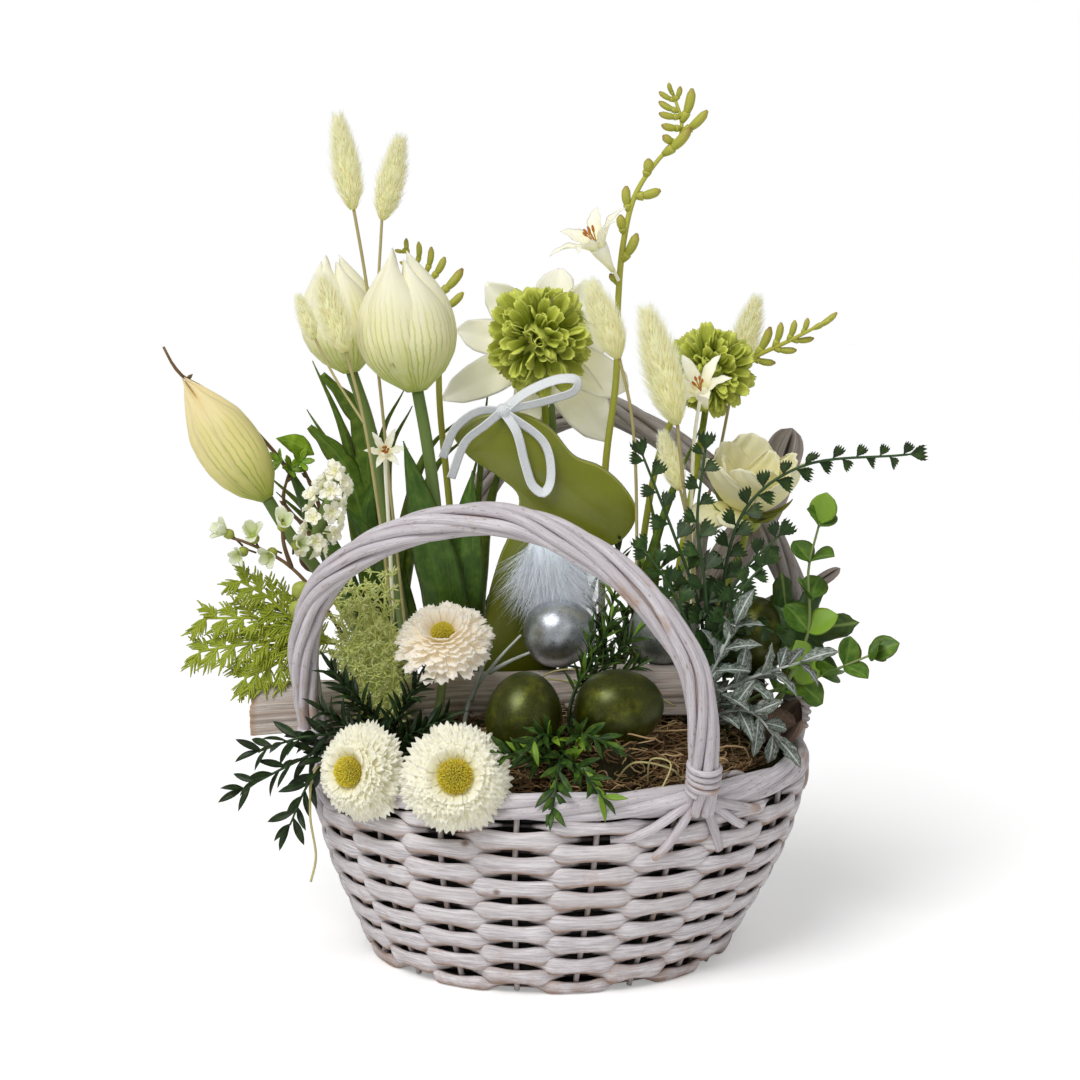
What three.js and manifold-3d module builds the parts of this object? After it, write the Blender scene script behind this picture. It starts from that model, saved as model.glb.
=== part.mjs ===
// A woven willow basket with two fixed twisted handles, filled with spring flowers,
// foliage, eggs, a log and a flat rabbit. Millimetres, +Z up, +X to the right and +Y to
// the back. The origin is the middle of the basket's base, on the surface it stands on.

import * as THREE from "three";
import Module from "manifold-3d";

const wasm = await Module();
wasm.setup();

// ---------------------------------------------------------------- driving dimensions

const CLEARANCE = 0.35; // between pieces that touch
const FUSE_TOLERANCE = 0.02; // shortest detail kept where limbs are fused

const BASE = { x: 5, width: 210, depth: 192, thick: 5 };
const RIM = { x: 12, width: 286, depth: 250, bottom: 108, top: 125, thick: 12 };
const WALL_BOTTOM = 0.4;
const WALL_BULGE = 1.15; // how early the wall reaches its full width
const STAKES = 20;
const FIRST_STAKE = -82; // degrees, the stake nearest the middle of the front
const ROWS = 15;
const WEAVE = { crest: 4.4, floor: -1.6, mid: 1.6, groove: 1.2, inside: -5, reach: 0.74 };

const HANDLE_AXIS = [0.923, -0.386]; // both handles' planes run along this line
const HANDLE = { rods: 5, radius: 9.8, groove: 2.2, turns: 1.6, lean: 15, foot: 111 };
const FRONT_FEET = [-20.5, -67];
const BACK_FEET = [44.5, 67];
// Half spans along the plane and heights along the lean.
const FRONT_ARCH = [
  [-117, 0], [-120, 50], [-117, 84], [-103, 115], [-79, 138], [-45, 156], [0, 168],
  [36, 166], [73, 149], [95, 130], [111, 108], [121, 88], [124, 62], [123, 30], [118, 0],
];
const BACK_ARCH = [
  [-116, 0], [-122, 60], [-118, 112], [-98, 160], [-66, 194], [-28, 208], [4, 198],
  [50, 172], [90, 136], [114, 92], [120, 45], [116, 0],
];

const LINING = 1.6; // between the wall's inside and the filler
const MOSS = { edge: 117, crown: 160, peakX: 5, peakY: 30, rough: 2.4, tolerance: 0.2 };

// ---------------------------------------------------------------- small helpers

const UP = new THREE.Vector3(0, 0, 1);
const v = (p) => new THREE.Vector3(...p);
const degrees = THREE.MathUtils.degToRad;
const mix = THREE.MathUtils.lerp;

// A repeatable source of numbers between 0 and 1.
function dice(seed) {
  let state = seed * 2654435761;
  return () => {
    state = (state + 0x6d2b79f5) | 0;
    let t = Math.imul(state ^ (state >>> 15), 1 | state);
    t = (t + Math.imul(t ^ (t >>> 7), 61 | t)) ^ t;
    return ((t ^ (t >>> 14)) >>> 0) / 4294967296;
  };
}

// A frame at origin whose Z runs along axis, turned about it by roll degrees.
function frameAt(origin, axis, roll = 0) {
  const z = v(axis).normalize();
  const guide = Math.abs(z.z) > 0.95 ? new THREE.Vector3(0, 1, 0) : UP;
  const x = new THREE.Vector3().crossVectors(guide, z).normalize();
  const y = new THREE.Vector3().crossVectors(z, x);
  return new THREE.Matrix4()
    .makeBasis(x, y, z)
    .setPosition(...origin)
    .multiply(new THREE.Matrix4().makeRotationZ(degrees(roll)));
}

// A solid through rings of points. The rings have equal counts, or one point for a tip.
// With loop, the last ring joins the first; otherwise each open end gets a cap. A face
// between two rings may sprout: sprout(i, k, corners) gives the sections of four points
// and the tip that grow out of it, or nothing.
function loft(rings, { loop = false, sprout = () => null } = {}) {
  const points = [];
  const faces = [];
  const starts = rings.map((ring) => {
    const start = points.length;
    points.push(...ring);
    return start;
  });
  const last = rings.length - 1;
  for (let i = 0; i < (loop ? rings.length : last); i++) {
    const next = (i + 1) % rings.length;
    const count = Math.max(rings[i].length, rings[next].length);
    for (let k = 0; k < count; k++) {
      const n = (k + 1) % count;
      const a = starts[i] + (rings[i].length > 1 ? k : 0);
      const b = starts[i] + (rings[i].length > 1 ? n : 0);
      const c = starts[next] + (rings[next].length > 1 ? k : 0);
      const d = starts[next] + (rings[next].length > 1 ? n : 0);
      const corners = [a, b, d, c];
      const whole = new Set(corners).size === 4;
      const shoot = whole ? sprout(i, k, corners.map((j) => points[j])) : null;
      if (shoot) {
        grow(points, faces, corners, shoot);
      } else {
        if (a !== b) faces.push(a, b, d);
        if (c !== d) faces.push(a, d, c);
      }
    }
  }
  if (!loop) {
    cap(points, faces, starts[0], rings[0], true);
    cap(points, faces, starts[last], rings[last], false);
  }
  return solid(points, faces);
}

// Walls from a four-cornered face through the growth's sections to its tip or flat end.
function grow(points, faces, corners, { sections, tip }) {
  let edge = corners;
  for (const section of sections) {
    const next = section.map((p) => points.push(p) - 1);
    edge.forEach((from, e) => {
      const f = (e + 1) % 4;
      faces.push(from, edge[f], next[f], from, next[f], next[e]);
    });
    edge = next;
  }
  if (tip) {
    const end = points.push(tip) - 1;
    edge.forEach((from, e) => faces.push(from, edge[(e + 1) % 4], end));
  } else {
    faces.push(edge[0], edge[1], edge[2], edge[0], edge[2], edge[3]);
  }
}

// What grows out of one face of a body: a leaf, petal, bud or needle. It leans from the
// body's axis, its widths lie at even steps, and it is broad round the axis or along it.
function growth(corners, axis, hub, spec, swell) {
  const { length, widths, thick, lean, droop = 0, along = false, blunt = false } = spec;
  const [a, b, d, c] = corners;
  const centre = new THREE.Vector3().add(a).add(b).add(c).add(d).multiplyScalar(0.25);
  const radial = centre.clone().sub(hub);
  radial.addScaledVector(axis, -radial.dot(axis)).normalize();
  const way = radial.clone().multiplyScalar(Math.sin(degrees(lean)));
  way.addScaledVector(axis, Math.cos(degrees(lean))).normalize();
  const round = b.clone().sub(a).add(d).sub(c);
  round.addScaledVector(way, -round.dot(way)).normalize();
  const rise = new THREE.Vector3().crossVectors(way, round);
  const upwards = c.clone().sub(a).add(d).sub(b);
  if (rise.dot(upwards) < 0) rise.negate();
  const reach = length + swell;
  const steps = widths.length + (blunt ? 0 : 1);
  const at = (share) => {
    const point = centre.clone().addScaledVector(way, reach * share);
    point.z -= droop * reach * share * share;
    return point;
  };
  const sections = widths.map((width, j) => {
    const middle = at((j + 1) / steps);
    const halfRound = (along ? thick : width) / 2 + swell;
    const halfRise = (along ? width : thick) / 2 + swell;
    return [[-1, -1], [1, -1], [1, 1], [-1, 1]].map(([p, q]) =>
      middle.clone().addScaledVector(round, p * halfRound).addScaledVector(rise, q * halfRise),
    );
  });
  return { sections, tip: blunt ? null : at(1) };
}

// The middle of a ring of points.
function hubOf(ring) {
  const hub = new THREE.Vector3();
  ring.forEach((p) => hub.add(p));
  return hub.divideScalar(ring.length);
}

// A body whose faces bear growths: bear(i, k) gives the growth on a face, or nothing.
function bearing(rings, bear, swell) {
  const hubs = rings.map(hubOf);
  const sprout = (i, k, corners) => {
    const spec = bear(i, k);
    if (!spec) return null;
    const axis = hubs[i + 1].clone().sub(hubs[i]).normalize();
    return growth(corners, axis, hubs[i], spec, swell);
  };
  return loft(rings, { sprout });
}

function cap(points, faces, start, ring, first) {
  if (ring.length === 1) return;
  const convex = ring.length < 7;
  const hub = convex ? start : points.push(hubOf(ring)) - 1;
  for (let k = convex ? 1 : 0; k < ring.length - (convex ? 1 : 0); k++) {
    const n = (k + 1) % ring.length;
    if (first) faces.push(hub, start + n, start + k);
    else faces.push(hub, start + k, start + n);
  }
}

// A manifold solid from points and triangles, with its faces turned outwards.
function solid(points, faces) {
  let volume = 0;
  for (let i = 0; i < faces.length; i += 3) {
    const [a, b, c] = [points[faces[i]], points[faces[i + 1]], points[faces[i + 2]]];
    volume += a.dot(new THREE.Vector3().crossVectors(b, c));
  }
  if (volume < 0) {
    for (let i = 0; i < faces.length; i += 3) {
      [faces[i + 1], faces[i + 2]] = [faces[i + 2], faces[i + 1]];
    }
  }
  const vertProperties = new Float32Array(points.flatMap((p) => [p.x, p.y, p.z]));
  const triVerts = new Uint32Array(faces);
  return new wasm.Manifold(new wasm.Mesh({ numProp: 3, vertProperties, triVerts }));
}

// ---------------------------------------------------------------- limbs
// A limb is a function of its swell: 0 gives the limb itself, and a clearance gives the
// room that its neighbours leave it.

// A stem, rod or pod along a smooth line; radii run from start to end. Its foot is a share
// of the length in a few long steps, and only the steps past it bear growths. A groove
// below 1 draws every second point inwards.
function tube(line, radii, options = {}) {
  const { sides = 4, steps = 0, foot = 0, footSteps = 0, groove = 1, bear = () => null } = options;
  return (swell) => {
    const curve = new THREE.CatmullRomCurve3(line.map(v), false, "centripetal");
    const count = footSteps + (steps || line.length + 1);
    const share = (i) =>
      i < footSteps ? (foot * i) / footSteps : mix(foot, 1, (i - footSteps) / (count - footSteps));
    let side = null;
    const rings = [];
    for (let i = 0; i <= count; i++) {
      const t = share(i);
      const along = curve.getTangentAt(t);
      const point = curve.getPointAt(t);
      if (i === 0) point.addScaledVector(along, -swell);
      if (i === count) point.addScaledVector(along, swell);
      side = side || frameAt([0, 0, 0], along.toArray()).elements.slice(0, 3);
      const x = v(side).addScaledVector(along, -v(side).dot(along)).normalize();
      side = x.toArray();
      const y = new THREE.Vector3().crossVectors(along, x);
      const place = t * (radii.length - 1);
      const low = Math.min(Math.floor(place), radii.length - 2);
      const radius = radii.length > 1 ? mix(radii[low], radii[low + 1], place - low) : radii[0];
      const ring = [];
      for (let k = 0; k < sides; k++) {
        const turn = (k / sides) * 2 * Math.PI;
        const reach = radius * (k % 2 ? groove : 1) + swell;
        ring.push(
          point
            .clone()
            .addScaledVector(x, Math.cos(turn) * reach)
            .addScaledVector(y, Math.sin(turn) * reach),
        );
      }
      rings.push(ring);
    }
    return bearing(rings, (i, k) => (i < footSteps ? null : bear(i - footSteps, k)), swell);
  };
}

// A leaf or petal blade along a line, with a width at each even step and a lengthwise
// fold; its broad direction is side. A width of 0 is a tip.
function blade(line, widths, side, { thick = 1.3, fold = 0.12 } = {}) {
  return (swell) => {
    const curve = new THREE.CatmullRomCurve3(line.map(v), false, "centripetal");
    const broad = v(side).normalize();
    const last = widths.length - 1;
    const rings = widths.map((width, i) => {
      const along = curve.getTangentAt(i / last);
      const point = curve.getPointAt(i / last);
      if (width === 0) return [point.addScaledVector(along, i ? swell * 2 : -swell * 2)];
      if (i === 0 || i === last) point.addScaledVector(along, i ? swell : -swell);
      const x = broad.clone().addScaledVector(along, -broad.dot(along)).normalize();
      const y = new THREE.Vector3().crossVectors(along, x);
      const half = width / 2 + swell;
      const edge = point.clone().addScaledVector(y, fold * width);
      return [
        point.clone().addScaledVector(y, -thick / 2 - swell),
        edge.clone().addScaledVector(x, half),
        point.clone().addScaledVector(y, thick / 2 + swell),
        edge.clone().addScaledVector(x, -half),
      ];
    });
    return loft(rings);
  };
}

// A round body from its base to its tip, with radii at even steps between them.
function spindle(base, tip, radii, sides = 8, squash = 1, bear = () => null) {
  return (swell) => {
    const axis = v(tip).sub(v(base));
    const length = axis.length();
    const place = frameAt(base, axis.toArray());
    const last = radii.length - 1;
    const rings = radii.map((radius, i) => {
      const ends = i === 0 ? -swell : i === last ? swell : 0;
      const z = (length * i) / last + ends;
      if (radius === 0) return [new THREE.Vector3(0, 0, z).applyMatrix4(place)];
      return Array.from({ length: sides }, (_, k) => {
        const turn = ((k + (i % 2) / 2) / sides) * 2 * Math.PI;
        const x = Math.cos(turn) * (radius + swell);
        const y = Math.sin(turn) * (radius * squash + swell);
        return new THREE.Vector3(x, y, z).applyMatrix4(place);
      });
    });
    return bearing(rings, bear, swell);
  };
}

// A flat plate of an outline, thick along its own Z, placed by a frame.
function plate(outline, thick, place) {
  return (swell) => {
    const grown = grow2(outline, swell);
    const shape = new THREE.Shape(grown.map((p) => new THREE.Vector2(...p)));
    const flat = THREE.ShapeUtils.triangulateShape(shape.getPoints(), []);
    const points = [];
    for (const z of [-thick / 2 - swell, thick / 2 + swell]) {
      grown.forEach(([x, y]) => points.push(new THREE.Vector3(x, y, z).applyMatrix4(place)));
    }
    const count = grown.length;
    const faces = [];
    flat.forEach(([a, b, c]) => faces.push(a, c, b, a + count, b + count, c + count));
    for (let k = 0; k < count; k++) {
      const n = (k + 1) % count;
      faces.push(k, n, n + count, k, n + count, k + count);
    }
    return solid(points, faces);
  };
}

// The outline moved outwards by a distance, corner by corner. It runs anticlockwise.
function grow2(outline, distance) {
  const count = outline.length;
  return outline.map(([x, y], i) => {
    const [px, py] = outline[(i + count - 1) % count];
    const [nx, ny] = outline[(i + 1) % count];
    const before = new THREE.Vector2(y - py, px - x).normalize();
    const after = new THREE.Vector2(ny - y, x - nx).normalize();
    const out = before.add(after).normalize().multiplyScalar(distance * 1.2);
    return [x + out.x, y + out.y];
  });
}

// A stem with a bare foot, and past it at each step one growth or more, evenly round
// the stem and turned by one face from step to step. The growths shrink to the tip.
function leafy(line, radii, { steps, sides = 4, foot = 0.3, each = 1, skip = 1, leaf, seed }) {
  const roll01 = dice(seed);
  const sizes = Array.from(
    { length: steps },
    (_, i) => mix(0.85, 1.12, roll01()) * mix(1.05, 0.75, i / steps),
  );
  const bear = (i, k) => {
    const face = (((k - i * skip) % sides) + sides) % sides;
    return face % Math.ceil(sides / each) ? null : { ...leaf, length: leaf.length * sizes[i] };
  };
  return tube(line, radii, { sides, steps, foot, footSteps: 2, bear });
}

// ---------------------------------------------------------------- nodes

const group = new THREE.Group();
const rooms = [];

function overlap(a, b) {
  return [0, 1, 2].every((i) => a.min[i] < b.max[i] && b.min[i] < a.max[i]);
}

// One body of a solid: the largest, with its sealed hollows filled and scraps dropped.
function largest(body) {
  const parts = body.decompose().filter((part) => part.volume() > 0);
  return parts.reduce((best, part) => (part.volume() > best.volume() ? part : best));
}

function add(name, finish, limbs, tolerance = FUSE_TOLERANCE) {
  const whole = wasm.Manifold.union(limbs.map((limb) => limb(0)));
  let body = whole;
  const box = whole.boundingBox();
  for (const room of rooms) {
    if (overlap(box, room.box)) body = body.subtract(room.body);
  }
  body = largest(body).simplify(tolerance);
  body = largest(body);
  const reserved = wasm.Manifold.union(limbs.map((limb) => limb(CLEARANCE)));
  rooms.push({ body: reserved, box: reserved.boundingBox() });
  const { vertProperties, triVerts } = body.getMesh();
  const geometry = new THREE.BufferGeometry();
  geometry.setAttribute("position", new THREE.BufferAttribute(vertProperties, 3));
  geometry.setIndex(new THREE.BufferAttribute(triVerts, 1));
  geometry.computeVertexNormals();
  const mesh = new THREE.Mesh(geometry, new THREE.MeshStandardMaterial(finish));
  mesh.name = name;
  mesh.userData.keptShare = body.volume() / whole.volume();
  group.add(mesh);
}

const paint = (color, roughness, metalness = 0) => ({ color, roughness, metalness });
const WILLOW = paint("#c9c3c8", 0.75);
const LEAF = paint("#3f6b2c", 0.6);
const DARK_LEAF = paint("#24452a", 0.6);
const FRESH_LEAF = paint("#7fae3f", 0.6);
const STEM = paint("#7d9152", 0.6);
const CREAM = paint("#f1eed6", 0.7);
const IVORY = paint("#eceee0", 0.7);
const LIME = paint("#9dbb3a", 0.7);
const STRAW = paint("#e6e6b4", 0.9);
const EGG_SILVER = paint("#9ea5a8", 0.35, 0.7);
const EGG_OLIVE = paint("#4b5520", 0.35, 0.3);
const DRIED = paint("#8d8580", 0.9);

// ---------------------------------------------------------------- basket

// The basket's middle and half sizes at a height.
function basketAt(z) {
  const t = THREE.MathUtils.clamp(z / RIM.bottom, 0, 1.2);
  const share = t < 1 ? Math.sin((t * Math.PI) / 2) ** WALL_BULGE : 1;
  return {
    x: mix(BASE.x, RIM.x, Math.min(t, 1)),
    a: mix(BASE.width, RIM.width, share) / 2,
    b: mix(BASE.depth, RIM.depth, share) / 2,
  };
}

// A point of the basket's round at a height, moved outwards by a distance.
function roundPoint(angle, z, out = 0) {
  const { x, a, b } = basketAt(z);
  return new THREE.Vector3(x + Math.cos(angle) * (a + out), Math.sin(angle) * (b + out), z);
}

const COLUMNS = STAKES * 2;
const columnAngle = (column) => degrees(FIRST_STAKE) + (column / COLUMNS) * 2 * Math.PI;

// The woven wall: each row bulges out over every second stake and dips behind the next.
function wall() {
  const pitch = (RIM.bottom - WALL_BOTTOM) / ROWS;
  const rings = [];
  for (let column = 0; column < COLUMNS; column++) {
    const angle = columnAngle(column);
    const ring = [];
    const put = (z, out) => ring.push(roundPoint(angle, z, out));
    for (let row = 0; row < ROWS; row++) {
      const middle = WALL_BOTTOM + (row + 0.5) * pitch;
      const between = column % 2 === 1;
      const outer = (column / 2 + row) % 2 === 0;
      const reach = pitch * (between ? 0.46 : outer ? WEAVE.reach : 1 - WEAVE.reach - 0.01);
      const low = Math.max(middle - reach, WALL_BOTTOM);
      const high = Math.min(middle + reach, RIM.bottom);
      const out = between ? WEAVE.mid : outer ? WEAVE.crest : WEAVE.floor;
      put(row === 0 ? WALL_BOTTOM : low, out - (between ? WEAVE.groove : 0));
      put(row === ROWS - 1 ? RIM.bottom : high, out);
    }
    put(RIM.bottom, WEAVE.inside);
    put(RIM.bottom * 0.4, WEAVE.inside);
    put(WALL_BOTTOM, WEAVE.inside);
    rings.push(ring);
  }
  return loft(rings, { loop: true });
}

// The rim: an upper and a lower border strand that lean in and out in turn.
function rim(swell) {
  const middle = (RIM.bottom + RIM.top) / 2;
  const rings = [];
  for (let column = 0; column < COLUMNS; column++) {
    const angle = columnAngle(column);
    const sway = column % 4 < 2 ? 1.1 : -1.1;
    const half = RIM.thick / 2 + swell;
    const drop = (RIM.top - RIM.bottom) / 2 - CLEARANCE + swell;
    const ring = [
      [half * 0.6 + sway, drop], [half + sway, drop * 0.4], [half * 0.66, 0],
      [half - sway, -drop * 0.6], [half * 0.4 - sway, -drop], [-half * 0.8 - sway, -drop],
      [-half * 0.8 + sway, drop],
    ];
    rings.push(ring.map(([out, up]) => roundPoint(angle, RIM.bottom, out).setZ(middle + up)));
  }
  return loft(rings, { loop: true });
}

// A handle: a twisted bundle of rods along an arch, with a wrapped collar at each foot.
function handle(feet, arch, lean) {
  const [ux, uy] = HANDLE_AXIS;
  const outward = [uy * Math.sin(degrees(lean)), -ux * Math.sin(degrees(lean))];
  const rise = Math.cos(degrees(lean));
  const line = arch.map(([s, h]) => [
    feet[0] + ux * s + outward[0] * h,
    feet[1] + uy * s + outward[1] * h,
    HANDLE.foot + rise * h,
  ]);
  const curve = new THREE.CatmullRomCurve3(line.map(v), false, "centripetal");
  const steps = 21;
  const bundle = (swell) => {
    const normal = new THREE.Vector3(outward[0], outward[1], rise - 1).normalize();
    const rings = [];
    for (let i = 0; i <= steps; i++) {
      const t = i / steps;
      const along = curve.getTangentAt(t);
      const point = curve.getPointAt(t);
      if (i === 0) point.addScaledVector(along, -swell);
      if (i === steps) point.addScaledVector(along, swell);
      const x = normal.clone().addScaledVector(along, -normal.dot(along)).normalize();
      const y = new THREE.Vector3().crossVectors(along, x);
      const slim = mix(0.84, 1, Math.sin(t * Math.PI) ** 0.5);
      const ring = [];
      for (let k = 0; k < HANDLE.rods * 2; k++) {
        const turn = (k / HANDLE.rods / 2 + t * HANDLE.turns) * 2 * Math.PI;
        const reach = (HANDLE.radius - (k % 2) * HANDLE.groove) * slim + swell;
        ring.push(
          point
            .clone()
            .addScaledVector(x, Math.cos(turn) * reach)
            .addScaledVector(y, Math.sin(turn) * reach),
        );
      }
      rings.push(ring);
    }
    return loft(rings);
  };
  const collar = (t, next) => {
    const base = curve.getPointAt(t).toArray();
    const tip = curve.getPointAt(next).toArray();
    const full = HANDLE.radius * 1.06;
    return spindle(base, tip, [full, full * 1.12, full], 7);
  };
  return [bundle, collar(0.03, 0.062), collar(0.97, 0.938)];
}

// The base: a flat woven disc inside the lowest row.
function base() {
  const rings = [
    [0, WEAVE.inside - CLEARANCE - 1.5],
    [1.5, WEAVE.inside - CLEARANCE],
    [BASE.thick, WEAVE.inside - CLEARANCE],
  ].map(([z, out]) =>
    Array.from({ length: STAKES }, (_, k) => roundPoint(columnAngle(k * 2), 0, out).setZ(z)),
  );
  return loft(rings);
}

// The height of the moss over a point of the basket.
function mossHeight(x, y) {
  const { x: middle, a, b } = basketAt(RIM.bottom);
  const edge = Math.hypot((x - middle) / (a - 8), y / (b - 8));
  const peak = Math.hypot((x - MOSS.peakX) / a, (y - MOSS.peakY) / b);
  const share = THREE.MathUtils.clamp((1 - edge) / (1 - edge + peak * 0.75), 0, 1);
  return mix(MOSS.edge, MOSS.crown, share);
}

// The filler: a lined plug with a rough mossy top, heaped behind the log.
function filler() {
  const roll01 = dice(7);
  const ringAt = (point) => Array.from({ length: STAKES }, (_, k) => point(columnAngle(k * 2)));
  const rings = [BASE.thick + 0.4, RIM.bottom * 0.35, RIM.bottom - 2].map((z) =>
    ringAt((angle) => roundPoint(angle, z, WEAVE.inside - LINING)),
  );
  for (const share of [0.995, 0.76, 0.4]) {
    rings.push(
      ringAt((angle) => {
        const point = roundPoint(angle, RIM.bottom, WEAVE.inside - 3);
        const x = mix(MOSS.peakX, point.x, share);
        const y = mix(MOSS.peakY, point.y, share);
        return new THREE.Vector3(x, y, mossHeight(x, y) + (roll01() - 0.5) * MOSS.rough);
      }),
    );
  }
  return loft(rings);
}

// A mound of moss heaped under an egg, which settles into it.
function mound([x, y, z], radius) {
  return spindle([x, y, RIM.bottom], [x, y, z], [radius * 1.1, radius, radius * 0.62], 7);
}

add("handle_front", WILLOW, handle(FRONT_FEET, FRONT_ARCH, HANDLE.lean));
add("handle_back", WILLOW, handle(BACK_FEET, BACK_ARCH, -HANDLE.lean + 2));
add("basket_wall", WILLOW, [wall]);
add("basket_rim", WILLOW, [rim]);
add("basket_base", WILLOW, [base]);

// ---------------------------------------------------------------- eggs, log and rabbit

const EGG_RADII = [0, 0.68, 0.97, 0.97, 0.72, 0];

// An egg by its middle, its half width and half length, and the way its tip points.
function egg(middle, half, length, tip) {
  const way = v(tip).normalize().multiplyScalar(length);
  const start = v(middle).sub(way).toArray();
  const end = v(middle).add(way).toArray();
  return [spindle(start, end, EGG_RADII.map((r) => r * half), 10)];
}

const EGGS = {
  egg_silver_1: { at: [12, -2, 190], half: 20.5, length: 22, tip: [1, 0.3, 0.1] },
  egg_silver_2: { at: [75, 3, 190], half: 20.5, length: 23, tip: [0.5, 0.8, 0] },
  egg_olive_1: { at: [-9, -75, 157], half: 22, length: 24.5, tip: [0.1, 0.2, 1] },
  egg_olive_2: { at: [45, -75, 161], half: 22, length: 25.5, tip: [1, 0.1, 0.1] },
  egg_olive_3: { at: [131, 25, 183], half: 20.5, length: 24, tip: [0.1, 0.1, 1] },
};
const MOUNDS = [
  { at: [-9, -75, 138], radius: 21 },
  { at: [45, -75, 146], radius: 22 },
  { at: [129, 24, 164], radius: 12 },
];
for (const [name, e] of Object.entries(EGGS)) {
  add(name, name.includes("silver") ? EGG_SILVER : EGG_OLIVE, egg(e.at, e.half, e.length, e.tip));
}

// The log: a split length of weathered wood, with a flat foot and a ridged back.
const LOG = { from: [-173, -3, 142.5], to: [92, -8, 157] };
const LOG_SECTION = [
  [-11, -13], [2, -14.5], [11, -12], [12, -2], [10, 8], [6, 14.5], [-1, 16.5], [-8, 13.5], [-12, 5],
];

function log(swell) {
  const roll01 = dice(3);
  const from = v(LOG.from);
  const to = v(LOG.to);
  const way = to.clone().sub(from).normalize();
  const rings = [];
  for (let i = 0; i <= 6; i++) {
    const point = from.clone().lerp(to, i / 6);
    if (i === 0) point.addScaledVector(way, -swell);
    if (i === 6) point.addScaledVector(way, swell);
    rings.push(
      grow2(LOG_SECTION, swell).map(([y, z]) => {
        const rough = (roll01() - 0.5) * 1.4;
        return point.clone().add(new THREE.Vector3(0, y, z + rough));
      }),
    );
  }
  return loft(rings);
}
add("wood_log", paint("#a79d90", 0.9), [log]);

// The rabbit: a flat board, seen from the front, with its ear laid to the left.
const RABBIT = { y: 19, thick: 12 };
const RABBIT_OUTLINE = [
  [-52, 309], [-44, 295], [-24, 281], [-13, 270], [-15, 255], [-25, 231], [-35, 190],
  [-38, 138], [10, 138], [12, 204], [22, 236], [46, 241], [56, 252], [58, 262], [50, 276],
  [36, 288], [21, 294], [6, 311], [-12, 320], [-34, 319],
];
const rabbitPlace = new THREE.Matrix4()
  .makeTranslation(0, RABBIT.y, 0)
  .multiply(new THREE.Matrix4().makeRotationX(Math.PI / 2));
add("rabbit", paint("#80942f", 0.45), [plate(RABBIT_OUTLINE, RABBIT.thick, rabbitPlace)]);

// The fur collar: a tuft on the rabbit's breast, its locks combed down and outwards.
function fur(swell) {
  const roll01 = dice(11);
  const locks = Array.from({ length: 40 }, () => mix(0.7, 1.3, roll01()));
  const bear = (i, k) => ({ length: 16 * locks[i * 8 + k], widths: [], lean: [100, 72, 42, 26][i] });
  return spindle([2, 3, 250], [4, 2, 214], [3, 15, 21, 20, 12], 8, 0.5, bear)(swell);
}
add("fur_collar", paint("#e9ebec", 0.95), [fur]);

// The ribbon bow: one knot, two loops and two tails of woven ribbon round the ear.
const KNOT = [-22, 9, 322];
const RIBBON = { width: 5, thick: 1.2 };
const RIBBON_RUNS = [
  [KNOT, [-8, 7, 333], [14, 6, 340], [20, 6.5, 338]],
  [[18, 6.2, 340], [20, 7, 334], [4, 8, 327], KNOT],
  [KNOT, [-14, 5, 310], [-9, 6, 290], [-3, 7, 276]],
  [[-5, 6.6, 278], [6, 8, 280], [4, 8, 302], KNOT],
  [KNOT, [-36, 7, 322], [-50, 7, 312], [-58, 8, 294]],
  [KNOT, [-32, 5, 314], [-44, 5, 304], [-53, 6, 282]],
];

function ribbon(line) {
  return blade(line, Array(line.length + 2).fill(RIBBON.width), [0, 1, 0.2], {
    thick: RIBBON.thick,
    fold: 0,
  });
}
const KNOT_BALL = spindle([-26, 9.4, 320], [-18, 9.4, 324], [2, 4, 4.5, 4, 2], 6);
add("ribbon_bow", paint("#f2f4f5", 0.8), [KNOT_BALL, ...RIBBON_RUNS.map(ribbon)]);

// ---------------------------------------------------------------- bellis

const BELLIS = {
  bellis_1: { at: [-100, -98, 134], axis: [-0.2, -0.95, 0.25], size: 24 },
  bellis_2: { at: [-46, -134, 136], axis: [0, -0.95, 0.3], size: 30 },
  bellis_3: { at: [-56, -45, 196], axis: [-0.1, -0.62, 0.78], size: 29 },
};

// A head grows from a low drum: three rows of petals, each row set between the last.
function bellisPetals({ at, axis, size }, seed) {
  const s = size / 30;
  const roll01 = dice(seed);
  const way = v(axis).normalize();
  const foot = v(at).addScaledVector(way, -10 * s).toArray();
  const top = v(at).addScaledVector(way, 2 * s).toArray();
  const rows = [
    { length: 17, widths: [6.8], thick: 1.6, lean: 96 },
    { length: 15, widths: [6.2], thick: 1.5, lean: 80 },
    { length: 12, widths: [5.4], thick: 1.6, lean: 52 },
  ];
  const bear = (i, k) => {
    if (i === 0) return null;
    const row = rows[i - 1];
    const length = row.length * s * mix(0.9, 1.1, roll01());
    return { ...row, length, widths: row.widths.map((w) => w * s) };
  };
  const drum = (swell) => spindle(foot, top, [8, 14, 14.5, 13, 9].map((r) => r * s), 13, 1, bear)(swell);
  return [drum];
}

// The eye: a low dome whose florets stand out in points.
function bellisEye({ at, axis, size }) {
  const s = size / 30;
  const way = v(axis).normalize();
  const foot = v(at).addScaledVector(way, 2.5 * s).toArray();
  const top = v(at).addScaledVector(way, 6.6 * s).toArray();
  const bear = () => ({ length: 1.8 * s, widths: [], lean: 45 });
  return [spindle(foot, top, [7.4 * s, 6.8 * s, 3 * s], 8, 1, bear)];
}

Object.entries(BELLIS).forEach(([name, head], i) => {
  add(name + "_eye", paint("#cdb62f", 0.8), bellisEye(head));
  add(name + "_petals", CREAM, bellisPetals(head, 31 + i));
});

// ---------------------------------------------------------------- tulips

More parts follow.
